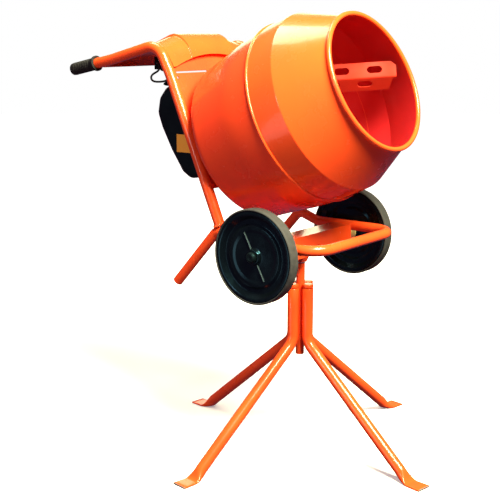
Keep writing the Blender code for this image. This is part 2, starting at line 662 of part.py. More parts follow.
def rear_cover(plastic, parent):
    """The moulded cover over the drive: a shell open towards the bulkhead."""
    front = REAR_FACE

    def ring(y, inset, forward):
        """The cover's outline at one place across, drawn in by an inset."""
        centre = Vector((-0.07, 0.09))
        places = []
        for k, (s, n) in enumerate(COVER_PROFILE):
            into = (centre - Vector((s, n))).normalized() * inset * 1.3
            at_front = k in (0, len(COVER_PROFILE) - 1)
            depth = forward if at_front else s + into.x
            places.append(Vector((-(n + into.y), y, front + depth)))
        return places

    edge = 0.016
    rings = [ring(-COVER_HALF, edge, 0), ring(-COVER_HALF + 0.005, 0.005, 0), ring(-COVER_HALF + edge, 0, 0),
             ring(COVER_HALF - edge, 0, 0), ring(COVER_HALF - 0.005, 0.005, 0), ring(COVER_HALF, edge, 0)]
    shell = lofted("rear_cover", rings, plastic, parent)
    inner_half = COVER_HALF - COVER_WALL
    rings = [ring(-inner_half, edge + 0.0035, 0.02), ring(-inner_half + edge, COVER_WALL, 0.02),
             ring(inner_half - edge, COVER_WALL, 0.02), ring(inner_half, edge + 0.0035, 0.02)]
    hollow = lofted("rear_cover_hollow", rings, plastic, parent)
    boolean(shell, hollow, "DIFFERENCE")


def cover_label(colour, parent):
    """A blank label on the cover's right side, its edges upright."""
    near = -COVER_HALF - GAP
    low = (LABEL_X[0], near - LABEL_THICK, LABEL_Z[0])
    high = (LABEL_X[1], near, LABEL_Z[1])
    block("cover_label", low, high, colour, parent)


def drum(paint, steel, parent):
    """Rear pan, front cone with a rolled rim, seam band, backing disc and shaft."""
    shaft_hole = 0.0300
    corner = (BACK_S + CORNER_RADIUS, BACK_RADIUS - CORNER_RADIUS)
    outside = [(shaft_hole, BACK_S)]
    outside += [(r, s) for s, r in arc_points(corner, CORNER_RADIUS, 180, 95, 4)]
    outside += [(0.2700, -0.120), (0.2790, -0.050), (PAN_RADIUS, SEAM_S - 0.006)]
    inside = [(shaft_hole, BACK_S + DRUM_WALL)]
    inside += [(r, s) for s, r in arc_points(corner, CORNER_RADIUS - DRUM_WALL, 180, 95, 4)]
    inside += [(0.2700 - DRUM_WALL, -0.120), (0.2790 - DRUM_WALL, -0.050),
               (PAN_RADIUS - DRUM_WALL, SEAM_S - 0.006)]
    turned("drum_pan", outside + inside[::-1], paint, parent, ROUND_LARGE)

    slant = math.atan2(CREASE_RADIUS - MOUTH_RADIUS, MOUTH_S - CREASE_S)
    wall = DRUM_WALL / math.cos(slant)
    rim_centre = (MOUTH_RADIUS + RIM_RADIUS * 0.45, MOUTH_S - RIM_RADIUS)
    neck = (MOUTH_RADIUS + 0.0010, MOUTH_S - 0.0150)
    rim = [neck] + arc_points(rim_centre, RIM_RADIUS, -60, 200, 7)
    shell = [(SEAM_RADIUS - 0.0020, SEAM_S + 0.006), (SEAM_RADIUS - 0.0025, SEAM_S + 0.020),
             (CREASE_RADIUS + 0.0012, CREASE_S - 0.012), (CREASE_RADIUS - 0.0014, CREASE_S),
             (CREASE_RADIUS - 0.0075, CREASE_S + 0.012)]
    lining = [(CREASE_RADIUS - 0.0075 - wall, CREASE_S + 0.012), (CREASE_RADIUS - 0.0014 - wall, CREASE_S),
              (CREASE_RADIUS + 0.0012 - DRUM_WALL, CREASE_S - 0.012),
              (SEAM_RADIUS - 0.0025 - DRUM_WALL, SEAM_S + 0.020),
              (SEAM_RADIUS - 0.0020 - DRUM_WALL, SEAM_S + 0.006)]
    turned("drum_cone", shell + rim + lining, paint, parent, ROUND_LARGE)

    low = SEAM_S - 0.006 + GAP
    high = SEAM_S + 0.006 - GAP
    inner = PAN_RADIUS - DRUM_WALL
    band = [(inner, low), (SEAM_RADIUS - 0.001, low)]
    band += arc_points((SEAM_RADIUS - 0.002, SEAM_S), 0.0042, -60, 60, 2)
    band += [(SEAM_RADIUS - 0.001, high), (inner, high)]
    turned("drum_seam", band, paint, parent, ROUND_LARGE)

    disc_front = BACK_S - GAP
    disc_rear = disc_front - BACKING_THICK
    outline = [(SHAFT_RADIUS + GAP, disc_front), (SHAFT_RADIUS + GAP, disc_rear),
               (BACKING_RADIUS - 0.005, disc_rear), (BACKING_RADIUS, disc_front)]
    turned("drum_backing", outline, steel, parent, 32)
    shaft_rear = REAR_FACE - 0.040 + GAP
    flange_low = BACK_S + DRUM_WALL + GAP
    outline = [(0, shaft_rear), (SHAFT_RADIUS, shaft_rear), (SHAFT_RADIUS, flange_low),
               (SHAFT_FLANGE_RADIUS, flange_low), (SHAFT_FLANGE_RADIUS, flange_low + 0.005),
               (0.020, flange_low + 0.014), (0, flange_low + 0.014)]
    turned("drum_shaft", outline, steel, parent, 32)


PADDLE_HALF = 0.0235         # half the width of the blade's face
PADDLE_THICK = 0.005
PADDLE_FRONT = (0.0470, 0.1990, 0.2480)     # n, y and s of the end near the mouth
PADDLE_REAR = (0.1980, -0.1150, -0.1980)    # and of the end in the pan
FLANGE = 0.046               # how far the folded edge reaches
FLANGE_STUB = 0.004          # and how far at the relieved front end
FOLD = math.radians(45)
BLADE_SLOTS = 5
BLADE_SLOT_PITCH = 0.100
BLADE_SLOT_LENGTH = 0.046
BLADE_SLOT_WIDTH = 0.021
FACE_FIRST_SLOT = 0.066
FLANGE_FIRST_SLOT = 0.097
FLANGE_SLOT_IN = 0.021       # the flange's slots, in from the fold


def blade_section(face_share, flange):
    """The folded section as (width, depth) points, for one share of the face and length of flange."""
    half = PADDLE_THICK / 2
    mitre = half * math.tan(FOLD / 2)
    reach = Vector((-math.cos(FOLD), math.sin(FOLD)))
    outward = Vector((-math.sin(FOLD), -math.cos(FOLD))) * half
    tip = Vector((-PADDLE_HALF, 0)) + reach * flange
    top = PADDLE_HALF * face_share
    return [Vector((top, -half)), Vector((-PADDLE_HALF - mitre, -half)), tip + outward,
            tip - outward, Vector((-PADDLE_HALF + mitre, half)), Vector((top, half))]


def paddle(name, turn, paint, parent):
    """A mixing blade: a folded, slotted bar from the pan's wall to the cone's wall near the mouth."""
    front, rear = (Vector((-n, y, s)) for n, y, s in (PADDLE_FRONT, PADDLE_REAR))
    along = (rear - front).normalized()
    upright = Vector((-1, 0, 0))
    wide = (upright - along * upright.dot(along)).normalized()
    flat = along.cross(wide)
    length = (rear - front).length
    stations = [(0.0, 0.45, FLANGE_STUB), (0.011, 0.83, FLANGE_STUB), (0.016, 1.0, 0.020),
                (0.024, 1.0, FLANGE), (length, 1.0, FLANGE)]
    rings = []
    for reach, share, flange in stations:
        section = blade_section(share, flange)
        rings.append([front + along * reach + wide * point.x + flat * point.y for point in section])
    blade = lofted(name, rings, paint, parent)
    blade.rotation_euler = (0, 0, turn)
    down = flat * math.sin(FOLD) - wide * math.cos(FOLD)
    rows = [("face", FACE_FIRST_SLOT, Vector((0, 0, 0)), wide),
            ("flange", FLANGE_FIRST_SLOT, down * FLANGE_SLOT_IN - wide * PADDLE_HALF, down)]
    outline = rod(BLADE_SLOT_WIDTH / 2, -BLADE_SLOT_WIDTH, BLADE_SLOT_WIDTH)
    for row, first, offset, across_slot in rows:
        for k in range(BLADE_SLOTS):
            slot = turned("%s_%s_slot_%d" % (name, row, k), outline, paint, blade, 16)
            slot.scale = (BLADE_SLOT_LENGTH / BLADE_SLOT_WIDTH, 1.0, 1.0)
            axes = Matrix((along, across_slot, along.cross(across_slot))).transposed()
            slot.rotation_euler = axes.to_euler()
            slot.location = front + along * (first + BLADE_SLOT_PITCH * k) + offset
            boolean(blade, slot, "DIFFERENCE")
    return blade


# ---------------------------------------------------------------- switch and lead
SWITCH_X = (-0.580, -0.500)
SWITCH_HALF = 0.040
SWITCH_Z = (1.1880, 1.2300)
BUTTON_RADIUS = 0.0110
BUTTON_Y = 0.0180
INLET_RADIUS = 0.0175
INLET_BORE = 0.0140


def switch(plastic, green, red, parent):
    """The switch box under the hood, its two push buttons facing the operator, and the power inlet."""
    low = (SWITCH_X[0], -SWITCH_HALF, SWITCH_Z[0])
    high = (SWITCH_X[1], SWITCH_HALF, SWITCH_Z[1])
    box = block("switch_box", low, high, plastic, parent)
    middle = (SWITCH_Z[0] + SWITCH_Z[1]) / 2
    for y, name, colour in ((BUTTON_Y, "start_button", green), (-BUTTON_Y, "stop_button", red)):
        radius = BUTTON_RADIUS
        well = turned("switch_box_well_" + name, rod(radius + 0.0005, -0.012, 0.02), plastic, parent)
        well.location = (SWITCH_X[0], y, middle)
        well.rotation_euler = (0, -math.pi / 2, 0)
        boolean(box, well, "DIFFERENCE")
        outline = [(0, -0.0060), (radius, -0.0060), (radius, 0.0045), (radius - 0.0015, 0.0060), (0, 0.0060)]
        button = turned(name, outline, colour, parent)
        button.location = (SWITCH_X[0], y, middle)
        button.rotation_euler = (0, -math.pi / 2, 0)
    outline = [(0, 0), (0, 0.004), (INLET_BORE, 0.004), (INLET_BORE, 0.026), (INLET_RADIUS, 0.026),
               (INLET_RADIUS, 0), (INLET_BORE, 0)]
    inlet = turned("power_inlet", outline, plastic, parent)
    inlet.location = ((SWITCH_X[0] + SWITCH_X[1]) / 2, SWITCH_HALF + GAP, middle)
    inlet.rotation_euler = (-math.pi / 2, 0, 0)


LEAD_RADIUS = 0.0032
LEAD_ROUTE = [(-0.5250, -0.0620, 1.2100), (-0.5250, -0.0700, 1.2100), (-0.5250, -0.0780, 1.2100),
              (-0.4980, -0.1150, 1.2100),
              (-0.4540, -0.1480, 1.2000), (-0.4720, -0.1560, 1.1940), (-0.4820, -0.1590, 1.1830),
              (-0.4700, -0.1610, 1.1710), (-0.4490, -0.1600, 1.1620), (-0.4250, -0.1560, 1.1580),
              (-0.4070, -0.1480, 1.1660), (-0.4090, -0.1380, 1.1830), (-0.4250, -0.1280, 1.1890),
              (-0.4410, -0.1220, 1.1800), (-0.4480, -0.1200, 1.1620)]


def smooth_route(route, steps=3):
    """A smooth curve through the route's points."""
    points = [Vector(place) for place in route]
    ends = [points[0] * 2 - points[1]] + points + [points[-1] * 2 - points[-2]]
    path = []
    for k in range(1, len(ends) - 2):
        before, start, stop, following = ends[k - 1:k + 3]
        for step in range(steps):
            t = step / steps
            curve = 2 * before - 5 * start + 4 * stop - following
            bend = 3 * start - before - 3 * stop + following
            path.append(0.5 * (2 * start + (stop - before) * t + curve * t ** 2 + bend * t ** 3))
    path.append(points[-1])
    return path


def gland(name, tip, direction, length, plastic, parent):
    """A tapered strain relief whose narrow end is at the tip."""
    nut = LEAD_RADIUS + 0.006
    outline = [(0, 0), (LEAD_RADIUS + 0.001, 0), (LEAD_RADIUS + 0.0035, length * 0.7), (nut, length * 0.72),
               (nut, length), (0, length)]
    item = turned(name, outline, plastic, parent, 16)
    item.location = tip
    item.rotation_euler = Vector(direction).to_track_quat("Z", "Y").to_euler()
    return item


def motor_lead(rubber, plastic, parent):
    """The short lead from the switch box to the motor, with a strain relief at each end."""
    path = smooth_route(LEAD_ROUTE)
    tube("motor_lead", path, LEAD_RADIUS, rubber, parent, 1)
    start = path[0] - (path[1] - path[0]).normalized() * GAP
    gland("lead_gland_switch", start, (0, 1, 0), -start.y - SWITCH_HALF - GAP, plastic, parent)
    stop = path[-1] + (path[-1] - path[-2]).normalized() * GAP
    gland("lead_gland_cover", stop, (-0.28, 0, -0.96), 0.0190, plastic, parent)


# ---------------------------------------------------------------- the whole mixer
def mixer():
    """Build every piece in its place."""
    clear_scene()
    paint = finish("orange_paint", ORANGE, 0.22)
    plastic = finish("black_plastic", BLACK, 0.25)
    rubber = finish("black_rubber", BLACK, 0.60)
    tread = finish("grey_tread", GREY_RUBBER, 0.75)
    steel = finish("steel", STEEL, 0.35, 1.0)
    zinc = finish("yellow_zinc", YELLOW_ZINC, 0.30, 1.0)
    cast = finish("cast_grey", CAST_GREY, 0.50, 0.6)
    amber = finish("amber_label", AMBER, 0.45)
    green = finish("green_button", GREEN, 0.35)
    red = finish("red_button", RED, 0.35)

    stand_axis = empty("stand_axis", (STAND_X, 0, 0))
    tip_axis = empty("tip_axis", (AXLE_X, 0, AXLE_Z), parent=stand_axis)
    lean = (0, math.pi / 2 - TILT, 0)
    drive_frame = empty("drive_frame", (0, 0, DRUM_Z), lean, stand_axis)
    drum_axis = empty("drum_axis", (0, 0, DRUM_Z), lean, stand_axis)

    stand(paint, stand_axis)
    swivel_head(steel, paint, stand_axis)
    chassis(paint, stand_axis)
    wheels(paint, plastic, tread, zinc, tip_axis)
    side_tubes(paint, rubber, stand_axis)
    hood(paint, stand_axis)
    bulkhead(paint, drive_frame)
    drive(cast, steel, plastic, rubber, drive_frame)
    rear_cover(plastic, drive_frame)
    cover_label(amber, stand_axis)
    drum(paint, steel, drum_axis)
    paddle("paddle_1", 0.0, paint, drum_axis)
    paddle("paddle_2", math.pi, paint, drum_axis)
    switch(plastic, green, red, stand_axis)
    motor_lead(rubber, plastic, stand_axis)


mixer()
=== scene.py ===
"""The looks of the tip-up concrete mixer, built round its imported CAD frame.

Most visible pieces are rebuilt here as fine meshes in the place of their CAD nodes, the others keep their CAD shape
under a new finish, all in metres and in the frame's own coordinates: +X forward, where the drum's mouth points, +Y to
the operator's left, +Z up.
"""
import json
import math

import bmesh
import bpy
from mathutils import Matrix, Vector, noise


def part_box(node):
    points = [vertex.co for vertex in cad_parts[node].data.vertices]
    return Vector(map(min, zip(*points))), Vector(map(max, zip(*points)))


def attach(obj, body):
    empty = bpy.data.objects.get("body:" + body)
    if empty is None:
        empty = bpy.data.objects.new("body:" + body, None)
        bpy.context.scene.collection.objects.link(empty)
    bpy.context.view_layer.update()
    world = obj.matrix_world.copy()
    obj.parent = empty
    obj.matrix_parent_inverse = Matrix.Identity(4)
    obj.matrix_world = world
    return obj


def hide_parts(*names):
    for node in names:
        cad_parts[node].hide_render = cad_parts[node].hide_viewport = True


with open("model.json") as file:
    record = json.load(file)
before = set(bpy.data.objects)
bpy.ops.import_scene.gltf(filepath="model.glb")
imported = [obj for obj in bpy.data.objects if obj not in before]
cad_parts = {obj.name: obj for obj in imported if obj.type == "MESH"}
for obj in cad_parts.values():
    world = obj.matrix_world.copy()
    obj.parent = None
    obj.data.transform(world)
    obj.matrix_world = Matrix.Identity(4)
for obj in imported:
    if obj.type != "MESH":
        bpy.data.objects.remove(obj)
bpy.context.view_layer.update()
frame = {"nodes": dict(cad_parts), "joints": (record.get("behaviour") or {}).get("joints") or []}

# ---------------------------------------------------------------- places and sizes read from the frame
JOINTS = {joint["name"]: joint for joint in frame["joints"]}
STAND_X = JOINTS["stand_swivel"]["pos_m"][0]
TIP_CENTRE = Vector(JOINTS["tip"]["pos_m"])
DRUM_CENTRE = Vector(JOINTS["drum_spin"]["pos_m"])
DRUM_AXIS = Vector(JOINTS["drum_spin"]["axis"])
TILT = math.atan2(DRUM_AXIS.z, DRUM_AXIS.x)
AXLE_X = TIP_CENTRE.x - STAND_X
AXLE_Z = TIP_CENTRE.z
DRUM_Z = DRUM_CENTRE.z


def node_middle(name):
    """The middle of a CAD node's box."""
    low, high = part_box(name)
    return (low + high) / 2


def node_size(name):
    """The sides of a CAD node's box."""
    low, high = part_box(name)
    return high - low


CHASSIS_RADIUS = node_size("chassis_tube_left").y / 2
TUBE_RADIUS = node_size("side_tube_left").y / 2
TUBE_Y = node_middle("side_tube_left").y
CHASSIS_LEVEL = node_middle("chassis_nose").z
WHEEL_Y = node_middle("tyre_left").y
WHEEL_RADIUS = node_size("tyre_left").z / 2
WHEEL_WIDTH = node_size("tyre_left").y
COVER_HALF = node_size("rear_cover").y / 2
POST_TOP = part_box("stand_post")[1].z
POST_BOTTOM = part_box("stand_post")[0].z
CHANNEL_HALF = node_size("cross_channel").y / 2

# ---------------------------------------------------------------- shape constants, as in the CAD source
GAP = 0.0003
SHEET = 0.0025
LEG_RADIUS = 0.0175
LEG_CENTRE = 0.0327
LEG_TOP = 0.5215
LEG_BEND = 0.345
LEG_TURN = -8.2
HEEL_REACH = 0.450
FOOT_REACH = 0.509
FOOT_HALF_WIDTH = 0.027
FOOT_THICK = 0.006
POST_RADIUS = 0.0138
POST_BORE = 0.0106
FRAME_S = -0.2706
INNER_HALF = TUBE_Y - TUBE_RADIUS - 0.0008
DRUM_WALL = 0.003
BACK_S = -0.2400
BACK_RADIUS = 0.2600
CORNER_RADIUS = 0.0340
PAN_RADIUS = 0.2835
SEAM_S = 0.036
SEAM_RADIUS = 0.2865
CREASE_S = 0.129
CREASE_RADIUS = 0.2800
MOUTH_S = 0.2887
MOUTH_RADIUS = 0.2060
RIM_RADIUS = 0.0072
KNEE = (-0.158, 0.7190)
NOSE_TIP_X = 0.2120
NOSE_BEND = 0.0720
REAR_FOOT = (-0.3290, 0.5300)
HANDLE_END = (-0.7800, 1.1895)
HANDLE_KINK = (-0.6000, 1.2250)
TOP_BEND = (-0.3980, 1.2750)
SIDE_FOOT_N = -0.2400
SIDE_TOP_N = 0.2480
GRIP_LENGTH = 0.112

FINE = 160                   # sides of the drum's circles
MEDIUM = 96                  # sides of the wheels and covers
SMALL = 40                   # sides of tubes, caps and bolts

# where a stand-axis place or a drum-axis place lies in the frame
STAND = Matrix.Translation((STAND_X, 0, 0))
LEAN = Matrix.Rotation(math.pi / 2 - TILT, 4, "Y")
DRUM = Matrix.Translation(DRUM_CENTRE) @ LEAN


# ---------------------------------------------------------------- outlines and paths
def arc_points(centre, radius, start, stop, steps):
    """Points of an arc in a plane, angles in degrees."""
    turns = [math.radians(start + (stop - start) * k / steps) for k in range(steps + 1)]
    return [(centre[0] + radius * math.cos(a), centre[1] + radius * math.sin(a)) for a in turns]


def rounded(outline, radius, steps=4, closed=True):
    """The outline with every corner off the axis turned into a small arc."""
    points = [Vector(point) for point in outline]
    count = len(points)
    result = []
    for k, corner in enumerate(points):
        at_end = not closed and k in (0, count - 1)
        if at_end or (len(corner) == 2 and abs(corner.x) < 1e-6):
            result.append(corner)
            continue
        before = points[k - 1] - corner
        after = points[(k + 1) % count] - corner
        turn = math.pi - before.angle(after)
        if turn < 0.05:
            result.append(corner)
            continue
        setback = min(radius * math.tan(turn / 2), 0.45 * before.length, 0.45 * after.length)
        start = corner + before.normalized() * setback
        stop = corner + after.normalized() * setback
        for step in range(steps + 1):
            t = step / steps
            result.append(start * (1 - t) ** 2 + corner * (2 * t * (1 - t)) + stop * t ** 2)
    return result


def rounded_path(corners, radii, steps=10):
    """A path through corner points, each inner corner turned into an arc of its own radius."""
    corners = [Vector(corner) for corner in corners]
    path = [corners[0]]
    for before, corner, following, radius in zip(corners, corners[1:], corners[2:], radii):
        into = (corner - before).normalized()
        out_of = (following - corner).normalized()
        turn = into.angle(out_of)
        setback = radius * math.tan(turn / 2)
        side = (out_of - into * math.cos(turn)) / math.sin(turn)
        start = corner - into * setback
        for k in range(steps + 1):
            angle = turn * k / steps
            path.append(start + into * radius * math.sin(angle) + side * radius * (1 - math.cos(angle)))
    path.append(corners[-1])
    return path


def smooth_route(route, steps=6):
    """A smooth curve through the route's points."""
    points = [Vector(place) for place in route]
    ends = [points[0] * 2 - points[1]] + points + [points[-1] * 2 - points[-2]]
    path = []
    for k in range(1, len(ends) - 2):
        before, start, stop, following = ends[k - 1:k + 3]
        for step in range(steps):
            t = step / steps
            curve = 2 * before - 5 * start + 4 * stop - following
            bend = 3 * start - before - 3 * stop + following
            path.append(0.5 * (2 * start + (stop - before) * t + curve * t ** 2 + bend * t ** 3))
    path.append(points[-1])
    return path


def on_frame(s, n):
    """(x, z) from the stand axis of a point s along the drum axis and n square to it, upwards."""
    x = s * math.cos(TILT) - n * math.sin(TILT)
    z = DRUM_Z + s * math.sin(TILT) + n * math.cos(TILT)
    return x, z


# ---------------------------------------------------------------- mesh builders
def loft_rings(build, rings, close_rings=False, capped=True):
    """Skin rings of as many points each; the last can join the first, or both ends are capped."""
    loops = [[build.verts.new(point) for point in ring] for ring in rings]
    count = len(loops[0])
    pairs = list(zip(loops, loops[1:]))
    if close_rings:
        pairs.append((loops[-1], loops[0]))
    for ring, following in pairs:
        for k in range(count):
            after = (k + 1) % count
            build.faces.new((ring[k], ring[after], following[after], following[k]))
    if capped and not close_rings:
        build.faces.new(loops[0])
        build.faces.new(loops[-1])
    return loops


def turned(outline, sides=SMALL):
    """Turn a closed outline of (radius, height) points about the local Z axis."""
    build = bmesh.new()
    rings = []
    for radius, height in outline:
        if abs(radius) < 1e-6:
            rings.append([build.verts.new((0, 0, height))])
            continue
        turns = [2 * math.pi * k / sides for k in range(sides)]
        rings.append([build.verts.new((radius * math.cos(a), radius * math.sin(a), height)) for a in turns])
    for ring, following in zip(rings, rings[1:] + rings[:1]):
        if len(ring) == 1 and len(following) == 1:
            continue
        for k in range(sides):
            after = (k + 1) % sides
            corners = [ring[k % len(ring)], ring[after % len(ring)],
                       following[after % len(following)], following[k % len(following)]]
            build.faces.new(list(dict.fromkeys(corners)))
    return build


def path_frames(path):
    """At each point of a path, its place and two directions square to it that never twist."""
    frames = []
    across = None
    for k, place in enumerate(path):
        ahead = (path[min(k + 1, len(path) - 1)] - path[max(k - 1, 0)]).normalized()
        if across is None:
            across = Vector((0, 1, 0)) if abs(ahead.y) < 0.9 else Vector((0, 0, 1))
        across = (across - ahead * across.dot(ahead)).normalized()
        frames.append((place, across, ahead.cross(across)))
    return frames


def swept(path, radius, sides=SMALL, wall=0.0, swell=None):
    """A round tube along a path. With a wall its ends are open, each with a blind bore inside."""
    build = bmesh.new()
    turns = [2 * math.pi * k / sides for k in range(sides)]

    def ring(frame_at, size, offset=0.0):
        """A circle of points round one place of the path."""
        place, across, up = frame_at
        shift = across.cross(up).normalized() * offset
        return [place + shift + (across * math.cos(a) + up * math.sin(a)) * size for a in turns]

    frames = path_frames(path)
    sizes = [radius * (swell(k) if swell else 1.0) for k in range(len(frames))]
    rings = [ring(at, size) for at, size in zip(frames, sizes)]
    if wall:
        lip = min(0.0008, wall / 3)
        inward = path[0] - path[1]
        sign = 1.0 if frames[0][1].cross(frames[0][2]).dot(inward) > 0 else -1.0
        depth = 0.030
        first = [ring(frames[0], radius - wall, -sign * depth), ring(frames[0], radius - wall, 0),
                 ring(frames[0], radius - lip, 0), ring(frames[0], radius, -sign * lip)]
        last = [ring(frames[-1], radius, sign * lip), ring(frames[-1], radius - lip, 0),
                ring(frames[-1], radius - wall, 0), ring(frames[-1], radius - wall, sign * depth)]
        rings = first + rings[1:-1] + last
    loft_rings(build, rings)
    return build


def hexagon(width, low, high):
    """A bolt head: six flats with a chamfered top."""
    build = bmesh.new()
    rings = []
    for size, height in ((1.0, low), (1.0, high - 0.12 * width), (0.9, high)):
        corners = [math.radians(60 * k) for k in range(6)]
        radius = width / math.sqrt(3) * size
        rings.append([Vector((radius * math.cos(a), radius * math.sin(a), height)) for a in corners])
    loft_rings(build, rings)
    return build


def bolt_mesh(width):
    """A bolt head on its washer, standing on the local XY plane."""
    washer = width * 0.72
    build = turned(rounded([(0, 0), (washer, 0), (washer, 0.0014), (0, 0.0014)], 0.0004, 2), 28)
    head = hexagon(width, 0.0014, 0.0014 + width * 0.55)
    spare = bpy.data.meshes.new("spare")
    head.to_mesh(spare)
    head.free()
    build.from_mesh(spare)
    bpy.data.meshes.remove(spare)
    return build


def piece(name, build, material, body, replaces=(), place=None, smooth=32):
    """Make a finished, riding object out of a bmesh."""
    bmesh.ops.recalc_face_normals(build, faces=build.faces)
    mesh = bpy.data.meshes.new(name)
    build.to_mesh(mesh)
    build.free()
    mesh.materials.append(material)
    mesh.shade_smooth()
    mesh.set_sharp_from_angle(angle=math.radians(smooth))
    item = bpy.data.objects.new(name, mesh)
    bpy.context.collection.objects.link(item)
    item.matrix_world = place if place is not None else STAND
    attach(item, body)
    if replaces:
        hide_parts(*replaces)
    return item


def squared(item):
    """Turn a piece's own axes to the frame's, its shape staying put, so that its box is measured square."""
    item.data.transform(item.matrix_world.to_3x3().to_4x4())
    item.matrix_world = Matrix.Translation(item.matrix_world.to_translation())
    return item


def bevelled(item, width, segments=3):
    """Round the piece's sharp edges."""
    modifier = item.modifiers.new("rounding", "BEVEL")
    modifier.width = width
    modifier.segments = segments
    modifier.limit_method = "ANGLE"
    modifier.angle_limit = math.radians(32)
    modifier.harden_normals = True
    return item


def along_axis(place, direction):
    """A matrix whose Z axis points along a direction."""
    return Matrix.Translation(place) @ Vector(direction).to_track_quat("Z", "Y").to_matrix().to_4x4()


# ---------------------------------------------------------------- materials
class Finish:
    """A Principled material put together from small steps."""

    def __init__(self, name, roughness, metallic=0.0, coat=0.0):
        self.material = bpy.data.materials.new(name)
        self.material.use_nodes = True
        self.nodes = self.material.node_tree.nodes
        self.links = self.material.node_tree.links
        self.shader = self.nodes["Principled BSDF"]
        self.shader.inputs["Roughness"].default_value = roughness
        self.shader.inputs["Metallic"].default_value = metallic
        self.shader.inputs["Coat Weight"].default_value = coat
        self.shader.inputs["Coat Roughness"].default_value = 0.05
        self.place = self.nodes.new("ShaderNodeTexCoord").outputs["Object"]
        self.height = None

    def noise(self, scale, detail=4.0, stretch=None):
        """A noise value over the piece, stretched along its axes if asked."""
        texture = self.nodes.new("ShaderNodeTexNoise")
        texture.inputs["Scale"].default_value = scale
        texture.inputs["Detail"].default_value = detail
        source = self.place
        if stretch:
            mapping = self.nodes.new("ShaderNodeMapping")
            mapping.inputs["Scale"].default_value = stretch
            self.links.new(source, mapping.inputs["Vector"])
            source = mapping.outputs["Vector"]
        self.links.new(source, texture.inputs["Vector"])
        return texture.outputs["Fac"]

    def spread(self, value, low, high, to_low=0.0, to_high=1.0):
        """Stretch a value's range from low..high to new limits."""
        node = self.nodes.new("ShaderNodeMapRange")
        node.inputs["From Min"].default_value = low
        node.inputs["From Max"].default_value = high
        node.inputs["To Min"].default_value = to_low
        node.inputs["To Max"].default_value = to_high
        self.links.new(value, node.inputs["Value"])
        return node.outputs["Result"]

    def sums(self, operation, first, second):
        """An arithmetic node on two values, either of which may be a number."""
        node = self.nodes.new("ShaderNodeMath")
        node.operation = operation
        for socket, value in zip(node.inputs, (first, second)):
            if isinstance(value, (int, float)):
                socket.default_value = value
            else:
                self.links.new(value, socket)
        return node.outputs[0]

    def mixed(self, amount, first, second):
        """Mix two colours, each an (r, g, b) or another node's output."""
        node = self.nodes.new("ShaderNodeMix")
        node.data_type = "RGBA"
        self.links.new(amount, node.inputs["Factor"])
        for socket, colour in ((node.inputs["A"], first), (node.inputs["B"], second)):
            target = [s for s in node.inputs if s.name == socket.name and s.type == "RGBA"][0]
            if isinstance(colour, tuple):
                target.default_value = (*colour, 1.0)
            else:
                self.links.new(colour, target)
        return [s for s in node.outputs if s.type == "RGBA"][0]

    def axis(self, name):
        """One coordinate of the piece's own space."""
        split = self.nodes.new("ShaderNodeSeparateXYZ")
        self.links.new(self.place, split.inputs[0])
        return split.outputs[name]

    def colour(self, value):
        """Send a colour to the shader."""
        if isinstance(value, tuple):
            self.shader.inputs["Base Color"].default_value = (*value, 1.0)
        else:
            self.links.new(value, self.shader.inputs["Base Color"])

    def roughness(self, value):
        """Send a roughness to the shader."""
        self.links.new(value, self.shader.inputs["Roughness"])

    def bump(self, value, strength, distance=0.001):
        """Add a layer of bump on top of the ones before."""
        node = self.nodes.new("ShaderNodeBump")
        node.inputs["Strength"].default_value = strength
        node.inputs["Distance"].default_value = distance
        self.links.new(value, node.inputs["Height"])
        if self.height:
            self.links.new(self.height, node.inputs["Normal"])
        self.height = node.outputs["Normal"]
        self.links.new(self.height, self.shader.inputs["Normal"])


ORANGE = (0.860, 0.080, 0.013)
DEEP_ORANGE = (0.830, 0.068, 0.013)
# RED_ORANGE and DEEP_RED_ORANGE are the orange made darker and redder: painted shade on the drum's pan and the
# bulkhead.
RED_ORANGE = (0.840, 0.062, 0.014)
DEEP_RED_ORANGE = (0.800, 0.049, 0.015)
WORN_STEEL = (0.165, 0.155, 0.145)


def orange_paint(name, light=ORANGE, deep=DEEP_ORANGE, worn_tip=None):
    """Glossy stove enamel: slight unevenness of colour, orange peel, and dull dust where it gathers."""
    finish = Finish(name, 0.25, coat=0.24)
    finish.shader.inputs["Specular IOR Level"].default_value = 0.25
    patches = finish.spread(finish.noise(5.0, 3.0), 0.35, 0.70)
    colour = finish.mixed(patches, light, deep)
    dust = finish.spread(finish.noise(38.0, 8.0), 0.58, 0.85, 0.0, 0.06)
    colour = finish.mixed(dust, colour, (0.80, 0.15, 0.045))
    if worn_tip:
        edge = finish.sums("ADD", finish.axis("X"), finish.spread(finish.noise(160.0, 5.0), 0.3, 0.7, -0.003, 0.003))
        bare = finish.spread(edge, worn_tip - 0.0022, worn_tip - 0.0004)
        colour = finish.mixed(bare, colour, WORN_STEEL)
    finish.colour(colour)
    finish.roughness(finish.sums("ADD", finish.spread(finish.noise(11.0, 5.0), 0.3, 0.7, 0.19, 0.31), dust))
    finish.bump(finish.noise(420.0, 2.0), 0.035, 0.0006)
    finish.bump(finish.noise(24.0, 2.0), 0.012, 0.004)
    return finish.material


def painted_shade_finish(name, light, deep):
    """The orange paint made deeper and duller as painted shade, and a little scoured."""
    finish = Finish(name, 0.34, coat=0.10)
    finish.shader.inputs["Specular IOR Level"].default_value = 0.30
    patches = finish.spread(finish.noise(6.0, 4.0), 0.35, 0.70)
    colour = finish.mixed(patches, light, deep)
    scour = finish.spread(finish.noise(60.0, 7.0, (1.0, 1.0, 0.15)), 0.62, 0.85, 0.0, 0.18)
    finish.colour(finish.mixed(scour, colour, (0.50, 0.036, 0.030)))
    finish.roughness(finish.spread(finish.noise(14.0, 5.0), 0.3, 0.7, 0.28, 0.42))
    finish.bump(finish.noise(420.0, 2.0), 0.05, 0.0006)
    return finish.material


